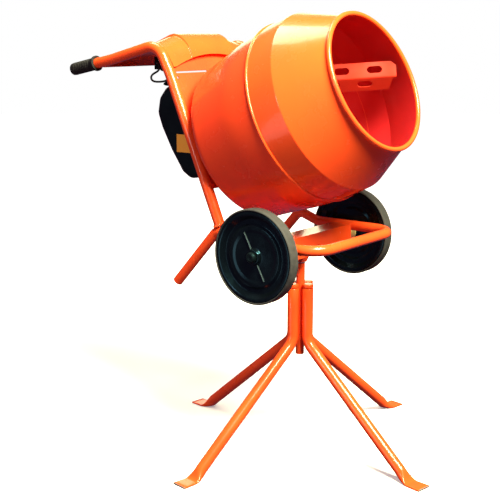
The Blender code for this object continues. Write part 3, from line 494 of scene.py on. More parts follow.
def black_gloss(name, deep, pale):
    """Shiny blue-black moulded plastic with faint flow marks and fine scuffs."""
    finish = Finish(name, 0.20)
    finish.shader.inputs["Specular IOR Level"].default_value = 0.34
    finish.shader.inputs["Specular Tint"].default_value = (0.25, 0.72, 1.0, 1.0)
    clouds = finish.spread(finish.noise(14.0, 4.0), 0.35, 0.70)
    finish.colour(finish.mixed(clouds, deep, pale))
    finish.roughness(finish.spread(finish.noise(60.0, 8.0), 0.35, 0.75, 0.14, 0.24))
    finish.bump(finish.noise(700.0, 2.0), 0.05, 0.0004)
    return finish.material


def black_textured(name="black_grained_plastic"):
    """Moulded plastic with a fine leathery grain, as on the cover and the switch box."""
    finish = Finish(name, 0.38)
    clouds = finish.spread(finish.noise(9.0, 5.0), 0.35, 0.70)
    finish.shader.inputs["Specular IOR Level"].default_value = 0.16
    finish.colour(finish.mixed(clouds, (0.0018, 0.0034, 0.0040), (0.0036, 0.0064, 0.0074)))
    finish.shader.inputs["Specular Tint"].default_value = (0.35, 0.80, 1.0, 1.0)
    finish.roughness(finish.spread(finish.noise(25.0, 6.0), 0.3, 0.7, 0.30, 0.48))
    grain = finish.nodes.new("ShaderNodeTexVoronoi")
    grain.inputs["Scale"].default_value = 520.0
    finish.links.new(finish.place, grain.inputs["Vector"])
    finish.bump(grain.outputs["Distance"], 0.18, 0.0006)
    return finish.material


def grip_rubber():
    """Soft matt rubber with a dusty bloom."""
    finish = Finish("grip_rubber", 0.62)
    bloom = finish.spread(finish.noise(45.0, 7.0), 0.45, 0.80)
    finish.shader.inputs["Specular IOR Level"].default_value = 0.25
    finish.colour(finish.mixed(bloom, (0.0055, 0.0055, 0.0060), (0.0140, 0.0135, 0.0130)))
    finish.roughness(finish.spread(finish.noise(80.0, 4.0), 0.3, 0.7, 0.52, 0.74))
    finish.bump(finish.noise(900.0, 3.0), 0.15, 0.0005)
    return finish.material


def tyre_rubber():
    """Grey dusty rubber on the tread that turns black on the sides of the tyre."""
    finish = Finish("tyre_grey_rubber", 0.78)
    square_x = finish.sums("POWER", finish.axis("X"), 2.0)
    square_y = finish.sums("POWER", finish.axis("Y"), 2.0)
    radius = finish.sums("POWER", finish.sums("ADD", square_x, square_y), 0.5)
    dusty = finish.spread(radius, WHEEL_RADIUS - 0.0030, WHEEL_RADIUS - 0.0012)
    patches = finish.spread(finish.noise(70.0, 8.0), 0.30, 0.72)
    tread = finish.mixed(patches, (0.018, 0.018, 0.0175), (0.034, 0.033, 0.032))
    finish.colour(finish.mixed(dusty, (0.017, 0.018, 0.019), tread))
    finish.roughness(finish.spread(patches, 0.0, 1.0, 0.66, 0.86))
    finish.bump(finish.noise(600.0, 6.0), 0.25, 0.0008)
    return finish.material


def zinc(name, light, dark, metallic=1.0):
    """Plated steel with a faint mottle and fine turning marks."""
    finish = Finish(name, 0.28, metallic)
    mottle = finish.spread(finish.noise(55.0, 6.0), 0.35, 0.68)
    finish.colour(finish.mixed(mottle, light, dark))
    finish.roughness(finish.spread(finish.noise(130.0, 4.0, (1.0, 1.0, 12.0)), 0.3, 0.7, 0.20, 0.42))
    finish.bump(finish.noise(300.0, 3.0, (0.2, 0.2, 6.0)), 0.10, 0.0004)
    return finish.material


def cast_metal():
    """Cast aluminium and iron under a coat of grey paint."""
    finish = Finish("cast_grey_paint", 0.48, metallic=0.35)
    patches = finish.spread(finish.noise(18.0, 6.0), 0.3, 0.7)
    finish.colour(finish.mixed(patches, (0.19, 0.20, 0.21), (0.27, 0.28, 0.29)))
    finish.roughness(finish.spread(finish.noise(40.0, 5.0), 0.3, 0.7, 0.38, 0.60))
    finish.bump(finish.noise(260.0, 6.0), 0.22, 0.0010)
    return finish.material


def printed_film(name, base, stain):
    """A satin self-adhesive label, slightly faded."""
    finish = Finish(name, 0.42)
    fade = finish.spread(finish.noise(60.0, 6.0), 0.3, 0.75)
    finish.colour(finish.mixed(fade, base, stain))
    finish.roughness(finish.spread(finish.noise(120.0, 3.0), 0.3, 0.7, 0.34, 0.50))
    finish.bump(finish.noise(200.0, 2.0), 0.04, 0.0003)
    return finish.material


PAINT = orange_paint("mixer_orange_paint")
# The drum's pan and the bulkhead take a darker, redder copy of the orange: painted shade.
PAN_SHADE_PAINT = orange_paint("mixer_orange_paint_pan_shade", RED_ORANGE, DEEP_RED_ORANGE)
# A darker, redder copy of the orange for the drum's inner faces: painted shade, with a little scouring.
INSIDE_SHADE_PAINT = painted_shade_finish("drum_inside_painted_shade", (0.560, 0.020, 0.024), (0.480, 0.016, 0.024))
# The mixing blades take a darker, redder copy of the orange: painted shade.
BLADE_SHADE_PAINT = painted_shade_finish("mixing_blade_paint", (0.440, 0.026, 0.010), (0.360, 0.019, 0.010))
FOOT_PAINT = orange_paint("mixer_orange_paint_feet", worn_tip=FOOT_REACH)
GLOSS = black_gloss("black_moulded_gloss", (0.0014, 0.0026, 0.0036), (0.0026, 0.0052, 0.0070))
# A lighter blue-grey copy of the black gloss for the wheel ribs: painted highlight.
RIB_HIGHLIGHT_GLOSS = black_gloss("black_moulded_gloss_rib_highlight", (0.030, 0.046, 0.052), (0.055, 0.078, 0.086))
GRAINED = black_textured()
RUBBER = grip_rubber()
TYRE = tyre_rubber()
YELLOW_ZINC = zinc("yellow_zinc_plate", (0.98, 0.80, 0.28), (0.88, 0.70, 0.26), 0.15)
STEEL = zinc("bright_zinc_plate", (0.62, 0.62, 0.63), (0.48, 0.49, 0.51))
CAST = cast_metal()
AMBER = printed_film("amber_label_film", (1.00, 0.50, 0.04), (0.95, 0.44, 0.035))
GREEN = printed_film("green_button_plastic", (0.02, 0.33, 0.08), (0.018, 0.27, 0.07))
RED = printed_film("red_button_plastic", (0.62, 0.02, 0.02), (0.52, 0.018, 0.02))


# ---------------------------------------------------------------- stand
def smoothstep(t):
    """Ease from 0 to 1."""
    t = max(0.0, min(1.0, t))
    return t * t * (3 - 2 * t)


def leg_ring(reach, height, heading, half_width, half_height, squareness, sides=48):
    """A section of the leg in its own plane: round, or pressed flat with blunt edges."""
    ring = []
    power = 1.0 - 0.62 * squareness
    for k in range(sides):
        angle = 2 * math.pi * k / sides
        cosine, sine = math.cos(angle), math.sin(angle)
        sideways = half_width * math.copysign(abs(cosine) ** power, cosine)
        upright = half_height * math.copysign(abs(sine) ** power, sine)
        ring.append(Vector((reach - upright * math.sin(heading), sideways, height + upright * math.cos(heading))))
    return ring


def stand_leg(place_name, turn):
    """One leg: an upright beside the post, a bend, a slanting length and a foot pressed flat."""
    floor = FOOT_THICK / 2
    corners = [(LEG_CENTRE, LEG_TOP, 0), (LEG_CENTRE, LEG_BEND, 0), (HEEL_REACH - 0.012, LEG_RADIUS, 0)]
    path = rounded_path(corners, [0.055], steps=12)
    slope = math.atan2(path[-1].y - path[-2].y, path[-1].x - path[-2].x)
    rings = [leg_ring(LEG_CENTRE, LEG_TOP, -math.pi / 2, LEG_RADIUS - 0.0008, LEG_RADIUS - 0.0008, 0)]
    path[0] = path[0] - Vector((0, 0.0008, 0))
    for k, place in enumerate(path[:-1]):
        ahead = path[min(k + 1, len(path) - 1)] - path[max(k - 1, 0)]
        heading = math.atan2(ahead.y, ahead.x)
        rings.append(leg_ring(place.x, place.y, heading, LEG_RADIUS, LEG_RADIUS, 0))
    start = Vector((HEEL_REACH - 0.030, LEG_RADIUS + 0.0125))
    corner = Vector((HEEL_REACH - 0.004, floor + 0.001))
    stop = Vector((HEEL_REACH + 0.014, floor))
    steps = 14
    for k in range(steps + 1):
        t = k / steps
        place = start * (1 - t) ** 2 + corner * (2 * t * (1 - t)) + stop * t ** 2
        flat = smoothstep(t * 1.15)
        half_width = LEG_RADIUS + (FOOT_HALF_WIDTH * 0.93 - LEG_RADIUS) * flat
        half_height = max(floor, LEG_RADIUS + (floor - LEG_RADIUS) * smoothstep(t * 1.1))
        height = max(place.y, half_height * 0.999)
        rings.append(leg_ring(place.x, height, slope * (1 - smoothstep(t)), half_width, half_height, flat))
    for share in (0.35, 0.7, 1.0):
        reach = stop.x + (FOOT_REACH - 0.0008 - stop.x) * share
        rings.append(leg_ring(reach, floor, 0, FOOT_HALF_WIDTH * (0.93 + 0.07 * share), floor, 1.0))
    rings.append(leg_ring(FOOT_REACH, floor, 0, FOOT_HALF_WIDTH - 0.0010, floor - 0.0008, 1.0))
    build = bmesh.new()
    loft_rings(build, rings)
    place = STAND @ Matrix.Rotation(math.radians(turn), 4, "Z")
    piece("leg_" + place_name, build, FOOT_PAINT, "stand", ["stand_leg_" + place_name], place=place, smooth=50)


def leg_cap(place_name, turn):
    """The plug in the top of a leg, with a dark gap under its head."""
    low = LEG_TOP + GAP
    neck = LEG_RADIUS - 0.0030
    outline = [(0, low), (neck, low), (neck, low + 0.0026), (LEG_RADIUS, low + 0.0028), (LEG_RADIUS, low + 0.0112),
               (LEG_RADIUS - 0.0035, low + 0.0135), (0, low + 0.0137)]
    place = STAND @ Matrix.Rotation(math.radians(turn), 4, "Z") @ Matrix.Translation((LEG_CENTRE, 0, 0))
    piece("cap_" + place_name, turned(rounded(outline, 0.0012)), PAINT, "stand", ["leg_cap_" + place_name], place=place)


def weld_bead(name, path, radius, body, place=None):
    """A line of weld: a bead with the small ripples of its passes."""
    length = sum((b - a).length for a, b in zip(path, path[1:]))
    count = max(6, int(length / 0.0012))
    fine = []
    for k in range(count + 1):
        share = k / count * (len(path) - 1)
        index = min(int(share), len(path) - 2)
        fine.append(path[index].lerp(path[index + 1], share - index))
    build = swept(fine, radius, 10, swell=lambda k: 0.86 + 0.14 * math.sin(k * 1.9))
    return piece(name, build, PAINT, body, place=place, smooth=60)


def stand():
    """Four legs welded round a central post."""
    outline = [(POST_BORE, POST_BOTTOM), (POST_RADIUS, POST_BOTTOM), (POST_RADIUS, POST_TOP), (POST_BORE, POST_TOP)]
    piece("centre_post", turned(rounded(outline, 0.0007)), PAINT, "stand", ["stand_post"])
    for place_name, quarter in (("front", 0), ("left", 90), ("rear", 180), ("right", 270)):
        turn = LEG_TURN + quarter
        stand_leg(place_name, turn)
        leg_cap(place_name, turn)
        side = math.radians(turn)
        outward = Vector((math.cos(side), math.sin(side), 0))
        for hand in (-1, 1):
            sideways = Vector((-outward.y, outward.x, 0)) * hand
            spot = outward * (POST_RADIUS + 0.0006) + sideways * 0.0040
            for k, low in enumerate((0.352, 0.488)):
                start = Vector((spot.x, spot.y, low))
                label = "l" if hand > 0 else "r"
                weld_bead("post_weld_%s_%s%d" % (place_name, label, k), [start, start + Vector((0, 0, 0.016))],
                          0.0020, "stand", STAND)


# ---------------------------------------------------------------- swivel head and chassis
def swivel():
    """The clevis keeps its CAD shape with rounded edges; the washer is turned afresh."""
    head = frame["nodes"]["swivel_head"]
    head.material_slots[0].material = PAINT
    bevelled(head, 0.0008, 2)
    low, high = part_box("thrust_washer")
    outer = (high.x - low.x) / 2
    outline = [(POST_RADIUS, low.z), (outer, low.z), (outer, high.z), (POST_RADIUS, high.z)]
    piece("swivel_washer", turned(rounded(outline, 0.0006)), STEEL, "swivel", ["thrust_washer"])


def chassis_path():
    """The centre line of the one bent tube that makes the chassis, from one rear foot to the other."""
    half = [(REAR_FOOT[0], TUBE_Y, REAR_FOOT[1]), (KNEE[0], TUBE_Y, KNEE[1]), (-0.085, TUBE_Y, CHASSIS_LEVEL),
            (NOSE_TIP_X, TUBE_Y, CHASSIS_LEVEL)]
    mirrored = [(x, -y, z) for x, y, z in reversed(half)]
    return rounded_path(half + mirrored, [0.035, 0.10, NOSE_BEND, NOSE_BEND, 0.10, 0.035], steps=14)


def ring_on_tube(centre, normal, radius, share=1.0, steps=36):
    """Points of a circle, or a share of one, round a place."""
    spin = Vector(normal).to_track_quat("Z", "Y")
    turns = [2 * math.pi * share * k / steps for k in range(steps + 1)]
    return [Vector(centre) + spin @ Vector((radius * math.cos(a), radius * math.sin(a), 0)) for a in turns]


def chassis():
    """The chassis tube, the cross channel with its folded ends, and their welds."""
    piece("chassis_tube", swept(chassis_path(), CHASSIS_RADIUS, wall=0.0022), PAINT, "mixer_frame",
          ["chassis_tube_left", "chassis_tube_right", "chassis_nose"])
    channel = frame["nodes"]["cross_channel"]
    channel.material_slots[0].material = PAINT
    bevelled(channel, 0.0016, 3)
    low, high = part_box("cross_channel")
    for side, name in ((1, "left"), (-1, "right")):
        y = side * (CHANNEL_HALF - 0.0005)
        for x, part in ((low.x - STAND_X, "rear"), (high.x - STAND_X, "front")):
            start = Vector((x, y, low.z + 0.012))
            weld_bead("channel_weld_%s_%s" % (name, part), [start, Vector((x, y, high.z - 0.003))], 0.0026, "mixer_frame")
        foot_x, foot_z = on_frame(FRAME_S, SIDE_FOOT_N + 0.0015)
        lean = Vector((-math.sin(TILT), 0, math.cos(TILT)))
        ring = ring_on_tube((foot_x, side * TUBE_Y, foot_z), lean, TUBE_RADIUS - 0.0004)
        saddle = []
        for spot in ring:
            across = (spot - Vector((foot_x, side * TUBE_Y, foot_z)))
            drop = 0.0045 * (abs(across.y) / TUBE_RADIUS) ** 2
            saddle.append(spot - lean * drop)
        weld_bead("side_tube_weld_" + name, saddle, 0.0046, "mixer_frame")


# ---------------------------------------------------------------- wheels
def wheel_profile(disc_radius, half):
    """The wheel's section: a raised rim, a deep dish with a ring in it, and a hub."""
    web = 0.0045
    bore = 0.0103
    front = [(bore, half - 0.001), (0.0220, half - 0.001), (0.0265, 0.0060), (0.0720, 0.0060), (0.0800, 0.0080),
             (0.0900, 0.0080), (0.0980, 0.0020), (0.1120, 0.0020), (0.1240, half - 0.0010), (0.1275, half),
             (disc_radius, half)]
    back = [(disc_radius, -half), (0.1240, -half), (0.1120, 0.0020 - web), (0.0980, 0.0020 - web),
            (0.0900, 0.0080 - web), (0.0800, 0.0080 - web), (0.0720, 0.0060 - web), (0.0265, 0.0060 - web),
            (0.0220, -half), (bore, -half)]
    return front + back


def rib(inner, outer, low, high, thick):
    """A thin upright rib along the local X axis, tapering towards its top."""
    build = bmesh.new()
    rings = []
    for z, half in ((low, thick), (high - 0.0006, thick * 0.55), (high, thick * 0.25)):
        rings.append([Vector((inner, -half, z)), Vector((outer, -half, z)), Vector((outer, half, z)),
                      Vector((inner, half, z))])
    loft_rings(build, rings)
    return build


RIB_TURN = 118.0
TYRE_THICK = 0.0065


def wheel(side, name):
    """One wheel: its moulded disc with two ribs, the tyre, the spacer behind and the cap in front."""
    body = "wheel_%s_body" % name
    centre = Vector((TIP_CENTRE.x, side * WHEEL_Y, TIP_CENTRE.z))
    place = Matrix.Translation(centre) @ Matrix.Rotation(-math.pi / 2 * side, 4, "X")
    half = WHEEL_WIDTH / 2 - 0.0015
    tyre_inner = WHEEL_RADIUS - TYRE_THICK
    piece("wheel_disc_" + name, turned(rounded(wheel_profile(tyre_inner - GAP, half), 0.0030, 4), MEDIUM),
                 GLOSS, body, ["wheel_" + name], place, 28)
    for k in range(2):
        # The ribs take the lighter gloss: painted highlight.
        ribbed = piece("wheel_rib_%s_%d" % (name, k), rib(0.0215, 0.0790, 0.0050, 0.0100, 0.0017), RIB_HIGHLIGHT_GLOSS, body,
                       (), place @ Matrix.Rotation(math.radians(RIB_TURN + 180 * k), 4, "Z"))
        bevelled(ribbed, 0.0004, 2)
    tread = WHEEL_WIDTH / 2
    outline = [(tyre_inner, -tread + 0.0022), (tyre_inner + 0.0020, -tread), (WHEEL_RADIUS - 0.0030, -tread),
               (WHEEL_RADIUS, -tread + 0.0030), (WHEEL_RADIUS, tread - 0.0030), (WHEEL_RADIUS - 0.0030, tread),
               (tyre_inner + 0.0020, tread), (tyre_inner, tread - 0.0022)]
    piece("tyre_tread_" + name, turned(rounded(outline, 0.0022), FINE), TYRE, body, ["tyre_" + name], place)

    low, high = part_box("axle_spacer_" + name)
    inner_y, outer_y = sorted((abs(low.y), abs(high.y)))
    flange_radius = (high.x - low.x) / 2
    bore, sleeve, flange = 0.0103, 0.0155, 0.0050
    outline = [(bore, inner_y - WHEEL_Y), (sleeve, inner_y - WHEEL_Y), (sleeve, outer_y - WHEEL_Y - flange),
               (flange_radius, outer_y - WHEEL_Y - flange), (flange_radius, outer_y - WHEEL_Y), (bore, outer_y - WHEEL_Y)]
    piece("wheel_spacer_" + name, turned(rounded(outline, 0.0010), MEDIUM), YELLOW_ZINC, "mixer_frame",
          ["axle_spacer_" + name], place)

    low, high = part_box("axle_cap_" + name)
    inner_y, outer_y = sorted((abs(low.y), abs(high.y)))
    low_z, high_z = inner_y - WHEEL_Y, outer_y - WHEEL_Y
    radius = (high.x - low.x) / 2
    outline = [(bore, low_z), (radius, low_z), (radius, high_z - 0.0050), (radius - 0.0045, high_z), (0.0070, high_z),
               (0.0060, high_z - 0.0010), (0, high_z - 0.0010), (0, high_z - 0.0013), (bore, high_z - 0.0013)]
    piece("wheel_cap_" + name, turned(rounded(outline, 0.0012)), GRAINED, "mixer_frame", ["axle_cap_" + name],
          place)


def axle_bar():
    """The plated axle with chamfered ends."""
    low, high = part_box("axle")
    half = (high.y - low.y) / 2
    radius = (high.x - low.x) / 2
    outline = [(0, -half), (radius, -half), (radius, half), (0, half)]
    place = Matrix.Translation(TIP_CENTRE) @ Matrix.Rotation(math.pi / 2, 4, "X")
    piece("axle_bar", turned(rounded(outline, 0.0012)), YELLOW_ZINC, "mixer_frame", ["axle"], place)


# ---------------------------------------------------------------- side tubes, handles and hood
def side_path(y):
    """The centre line of one side tube, from the handle's end to its foot on the chassis."""
    foot_x, foot_z = on_frame(FRAME_S, SIDE_FOOT_N)
    top_x, top_z = on_frame(FRAME_S, SIDE_TOP_N)
    corners = [(HANDLE_END[0], y, HANDLE_END[1]), (HANDLE_KINK[0], y, HANDLE_KINK[1]),
               (TOP_BEND[0], y, TOP_BEND[1]), (top_x, y, top_z), (foot_x, y, foot_z)]
    return rounded_path(corners, [0.40, 0.060, 0.40], steps=16)


def grip_outline():
    """The grip's section: a domed end, a ribbed sleeve and a collar."""
    inner = TUBE_RADIUS + GAP
    outer = TUBE_RADIUS + 0.0035
    collar = outer + 0.0045
    outline = [(0, -0.0070), (outer - 0.0070, -0.0070), (outer - 0.0010, -0.0030), (outer, 0.0060)]
    ribs = 9
    start, stop = 0.016, GRIP_LENGTH - 0.020
    pitch = (stop - start) / ribs
    for k in range(ribs):
        low = start + pitch * k
        outline += [(outer, low), (outer - 0.0012, low + pitch * 0.12), (outer - 0.0012, low + pitch * 0.30),
                    (outer, low + pitch * 0.42)]
    outline += [(outer, GRIP_LENGTH - 0.0100), (collar, GRIP_LENGTH - 0.0070), (collar, GRIP_LENGTH - 0.0008),
                (collar - 0.0015, GRIP_LENGTH), (inner, GRIP_LENGTH), (inner, -GAP), (0, -GAP)]
    return rounded(outline, 0.0010, 3)


def handles():
    """Both side tubes with their rubber grips."""
    slope = math.atan2(HANDLE_KINK[1] - HANDLE_END[1], HANDLE_KINK[0] - HANDLE_END[0])
    for side, name in ((1, "left"), (-1, "right")):
        piece("handle_tube_" + name, swept(side_path(side * TUBE_Y), TUBE_RADIUS), PAINT, "mixer_frame",
              ["side_tube_" + name])
        end = Vector((HANDLE_END[0] + STAND_X, side * TUBE_Y, HANDLE_END[1]))
        place = Matrix.Translation(end) @ Matrix.Rotation(math.pi / 2 - slope, 4, "Y")
        piece("handle_grip_" + name, turned(grip_outline(), MEDIUM), RUBBER, "mixer_frame", ["grip_" + name],
              place)


HOOD_REAR_X = -0.6600
HOOD_EDGE_RISE = 0.0080
HOOD_CROWN = 0.0260
PAD_HALF = 0.1060
PAD_STEP = 0.0065
LIP_DROP = 0.0240
HOOD_FRONT_N = 0.2700
ARCH_HEIGHT = 0.0350
ARCH_HALF = 0.1860


def hood():
    """The sheet over the drive: a rear deck, a ridge with a raised middle, and a front with an arch."""
    front_x, front_z = on_frame(FRAME_S, HOOD_FRONT_N)
    path = [point for point in side_path(0) if HOOD_REAR_X < point.x < front_x]
    rear_z = HANDLE_KINK[1] - (HANDLE_KINK[0] - HOOD_REAR_X) * math.tan(math.radians(11.1))
    path = [Vector((HOOD_REAR_X, 0, rear_z))] + path + [Vector((front_x, 0, front_z))]
    lengths = [0.0]
    for before, point in zip(path, path[1:]):
        lengths.append(lengths[-1] + (point - before).length)
    ridge = lengths[max(range(len(path)), key=lambda k: path[k].z)]
    total = lengths[-1]

    def along(distance):
        """The point and the outward direction at a distance along the profile."""
        k = 0
        while k < len(lengths) - 2 and distance > lengths[k + 1]:
            k += 1
        share = (distance - lengths[k]) / (lengths[k + 1] - lengths[k])
        heading = (path[k + 1] - path[k]).normalized()
        return path[k].lerp(path[k + 1], share), Vector((-heading.z, 0, heading.x))

    def rise(y, share):
        """How far the sheet stands above the tubes' centre line: most along the ridge."""
        flank = max(0.0, min(1.0, (INNER_HALF - abs(y)) / (INNER_HALF - PAD_HALF)))
        pad = PAD_STEP * smoothstep((PAD_HALF + 0.0012 - abs(y)) / 0.0024)
        return HOOD_EDGE_RISE + (HOOD_CROWN * flank + pad) * share

    fine = [PAD_HALF + 0.0020 - 0.0004 * k for k in range(11)]
    coarse = [INNER_HALF * (1 - k / 14) for k in range(14)]
    half = sorted(set(coarse + fine), reverse=True)
    columns = [-y for y in half] + [0.0] + half[::-1]
    deck_steps = 24
    front_steps = 30
    arch_radius = (ARCH_HALF ** 2 + ARCH_HEIGHT ** 2) / (2 * ARCH_HEIGHT)
    build = bmesh.new()
    grid = []
    for y in columns:
        cut = 0.0
        if abs(y) < ARCH_HALF:
            cut = math.sqrt(arch_radius ** 2 - y ** 2) - (arch_radius - ARCH_HEIGHT)
        stations = [ridge * k / deck_steps for k in range(deck_steps)]
        stations += [ridge + (total - cut - ridge) * k / front_steps for k in range(front_steps + 1)]
        row = []
        for distance in stations:
            point, outward = along(distance)
            share = distance / ridge if distance < ridge else 1 - 0.85 * (distance - ridge) / (total - ridge)
            place = point + outward * rise(y, share)
            row.append(Vector((place.x, y, place.z)))
        first = row[0]
        lip = [Vector((first.x - 0.001, y, first.z - LIP_DROP)), Vector((first.x - 0.001, y, first.z - LIP_DROP / 2)),
               Vector((first.x - 0.0008, y, first.z - 0.0030)), Vector((first.x + 0.0004, y, first.z - 0.0008))]
        row[0] = Vector((first.x + 0.003, y, first.z + 0.0004))
        grid.append([build.verts.new(place) for place in lip + row])
    for row, following in zip(grid, grid[1:]):
        for k in range(len(row) - 1):
            build.faces.new((row[k], row[k + 1], following[k + 1], following[k]))
    sheet = piece("hood_sheet", build, PAINT, "mixer_frame", ["hood"], smooth=70)
    if sheet.data.polygons[len(sheet.data.polygons) // 2].normal.z < 0:
        sheet.data.flip_normals()
    thickness = sheet.modifiers.new("thickness", "SOLIDIFY")
    thickness.thickness = SHEET
    thickness.offset = -1
    bevelled(sheet, 0.0007, 2)
    for side, name in ((1, "left"), (-1, "right")):
        for k in range(4):
            start_s = ridge * (0.12 + 0.24 * k)
            beads = []
            for step in range(5):
                point, outward = along(start_s + 0.006 * step)
                spot = point + outward * (HOOD_EDGE_RISE * 0.5)
                beads.append(Vector((spot.x, side * (INNER_HALF + 0.0005), spot.z)))
            weld_bead("hood_weld_%s_%d" % (name, k), beads, 0.0024, "mixer_frame")


# ---------------------------------------------------------------- bulkhead, drive and cover
def cad_finish(name, material, edge=0.0005, segments=2):
    """Keep a CAD node's shape with rounded edges and a proper finish."""
    node = frame["nodes"][name]
    for slot in node.material_slots:
        slot.material = material
    node.data.set_sharp_from_angle(angle=math.radians(30))
    if edge:
        bevelled(node, edge, segments)
    return node


def bulkhead():
    """The plate keeps its CAD shape; its bolts, and the stitch welds to the side tubes, are added."""
    # The plate takes the darker, redder copy of the orange: painted shade.
    cad_finish("bulkhead", PAN_SHADE_PAINT)
    for side, name in ((1, "left"), (-1, "right")):
        for k, n in enumerate((0.215, 0.110, 0.005, -0.100)):
            start = Vector((-n, side * (INNER_HALF + 0.0006), FRAME_S + 0.0022))
            weld_bead("plate_weld_%s_%d" % (name, k), [start, start + Vector((0.026, 0, 0))], 0.0024,
                      "mixer_frame", DRUM)
    spots = [(0.068 * math.cos(math.radians(a)), 0.068 * math.sin(math.radians(a))) for a in (45, 135, 225, 315)]
    spots += [(-0.156 + 0.052, 0.052), (-0.156 + 0.052, -0.052), (-0.156 - 0.052, 0.052), (-0.156 - 0.052, -0.052)]
    for k, (x, y) in enumerate(spots):
        place = DRUM @ Matrix.Translation((x, y, FRAME_S + 0.0016)) @ Matrix.Rotation(math.radians(11 * k), 4, "Z")
        piece("plate_bolt_%d" % k, bolt_mesh(0.0100), STEEL, "mixer_frame", (), place)


def drive():
    """The gearbox and the motor with its cooling ribs, and the pulleys and belt."""
    for name, material in (("gearbox", CAST), ("motor", CAST), ("gearbox_pulley", STEEL), ("motor_pulley", STEEL)):
        cad_finish(name, material)
    cad_finish("drive_belt", RUBBER, 0.0004)


COVER_PROFILE = [(0.0, 0.2450), (-0.1000, 0.2430), (-0.1360, 0.2250), (-0.1640, 0.1850), (-0.1670, 0.1350),
                 (-0.1580, 0.0500), (-0.1400, -0.0300), (-0.1190, -0.0580), (-0.0880, -0.0660), (0.0, -0.0660)]
REAR_FACE = FRAME_S - 0.0018
COVER_EDGE = 0.016
COVER_WALL = 0.0035


def cover_ring(outline, y, inset, forward, centre):
    """The cover's outline at one place across, drawn in by an inset."""
    places = []
    for k, point in enumerate(outline):
        into = (centre - point).normalized() * inset * 1.3
        at_front = k in (0, len(outline) - 1)
        depth = forward if at_front else point.x + into.x
        places.append(Vector((-(point.y + into.y), y, REAR_FACE + depth)))
    return places


def rear_cover():
    """The moulded cover: a shell open towards the plate, with rounded corners, louvres and screws."""
    outline = rounded(COVER_PROFILE, 0.030, 6, closed=False)
    centre = Vector((-0.07, 0.09))
    build = bmesh.new()
    steps = 8
    profile = [(-COVER_HALF + COVER_EDGE * (1 - math.sin(math.pi / 2 * k / steps)),
                COVER_EDGE * (1 - math.cos(math.pi / 2 * k / steps))) for k in range(steps + 1)][::-1]
    rings = [cover_ring(outline, y, inset, 0, centre) for y, inset in profile]
    rings += [cover_ring(outline, -y, inset, 0, centre) for y, inset in reversed(profile)]
    loft_rings(build, rings)
    shell = piece("motor_cover", build, GRAINED, "mixer_frame", ["rear_cover"], DRUM, 45)
    hollow = bmesh.new()
    inner_half = COVER_HALF - COVER_WALL
    rings = [cover_ring(outline, -inner_half, COVER_EDGE + COVER_WALL, 0.02, centre),
             cover_ring(outline, -inner_half + COVER_EDGE, COVER_WALL, 0.02, centre),
             cover_ring(outline, inner_half - COVER_EDGE, COVER_WALL, 0.02, centre),
             cover_ring(outline, inner_half, COVER_EDGE + COVER_WALL, 0.02, centre)]
    loft_rings(hollow, rings)
    cut_away(shell, hollow, "motor_cover_hollow", DRUM)
    vents = bmesh.new()
    for k in range(9):
        n = 0.020 + 0.0135 * k
        add_box(vents, (-n - 0.0032, -0.060, REAR_FACE - 0.200), (-n + 0.0032, 0.060, REAR_FACE - 0.120))
    cut_away(shell, vents, "motor_cover_vents", DRUM)
    bevelled(squared(shell), 0.0007, 2)
    for k, (n, y) in enumerate(((0.205, -0.120), (0.205, 0.120), (-0.035, -0.120), (-0.035, 0.120))):
        depth = cover_depth(outline, n)
        place = DRUM @ Matrix.Translation((-n, y, REAR_FACE + depth + 0.0006)) @ Matrix.Rotation(math.pi, 4, "Y")
        piece("cover_screw_%d" % k, screw_mesh(0.0050), STEEL, "mixer_frame", (), place)
    cad_finish("cover_label", AMBER, 0.0002, 1)


def cover_depth(outline, n):
    """How deep the cover's back is at a height n."""
    best = 0.0
    for before, point in zip(outline, outline[1:]):
        if min(before.y, point.y) <= n <= max(before.y, point.y) and before.y != point.y:
            share = (n - before.y) / (point.y - before.y)
            best = min(best, before.x + (point.x - before.x) * share)
    return best


def screw_mesh(radius):
    """A pan-headed screw with a cross slot."""
    outline = [(0, -0.002), (radius, -0.002), (radius, 0.0008), (radius * 0.72, 0.0022), (0, 0.0026)]
    build = turned(rounded(outline, 0.0006), 24)
    return build


def add_box(build, low, high):
    """Add a closed box between two corners to a bmesh."""
    corners = [Vector((x, y, z)) for x in (low[0], high[0]) for y in (low[1], high[1]) for z in (low[2], high[2])]
    verts = [build.verts.new(corner) for corner in corners]
    for face in ((0, 1, 3, 2), (4, 6, 7, 5), (0, 4, 5, 1), (2, 3, 7, 6), (0, 2, 6, 4), (1, 5, 7, 3)):
        build.faces.new([verts[k] for k in face])


def cut_away(target, build, name, place):
    """Cut a shape out of a piece and leave nothing of the cutter behind."""
    bmesh.ops.recalc_face_normals(build, faces=build.faces)
    mesh = bpy.data.meshes.new(name)
    build.to_mesh(mesh)
    build.free()
    cutter = bpy.data.objects.new(name, mesh)
    bpy.context.collection.objects.link(cutter)
    cutter.matrix_world = place
    modifier = target.modifiers.new(name, "BOOLEAN")
    modifier.operation = "DIFFERENCE"
    modifier.solver = "EXACT"
    modifier.object = cutter
    bpy.context.view_layer.update()
    graph = bpy.context.evaluated_depsgraph_get()
    result = bpy.data.meshes.new_from_object(target.evaluated_get(graph))
    target.modifiers.remove(modifier)
    target.data = result
    bpy.data.objects.remove(cutter)


# ---------------------------------------------------------------- drum
def paint_inside_shade(item, wall):
    """Give the faces inside a drum shell a darker, redder copy of the orange: painted shade."""
    item.data.materials.append(INSIDE_SHADE_PAINT)
    for face in item.data.polygons:
        centre = face.center
        spoke = Vector((centre.x, centre.y, 0)).normalized()
        facing = face.normal.dot(spoke)
        floor_inside = face.normal.z > 0.7 and centre.z < BACK_S + wall * 1.5 and centre.xy.length < BACK_RADIUS - wall
        if (facing < -0.35 and centre.xy.length > 0.1 and centre.z < MOUTH_S - 0.0140) or floor_inside:
            face.material_index = 1
    return squared(item)


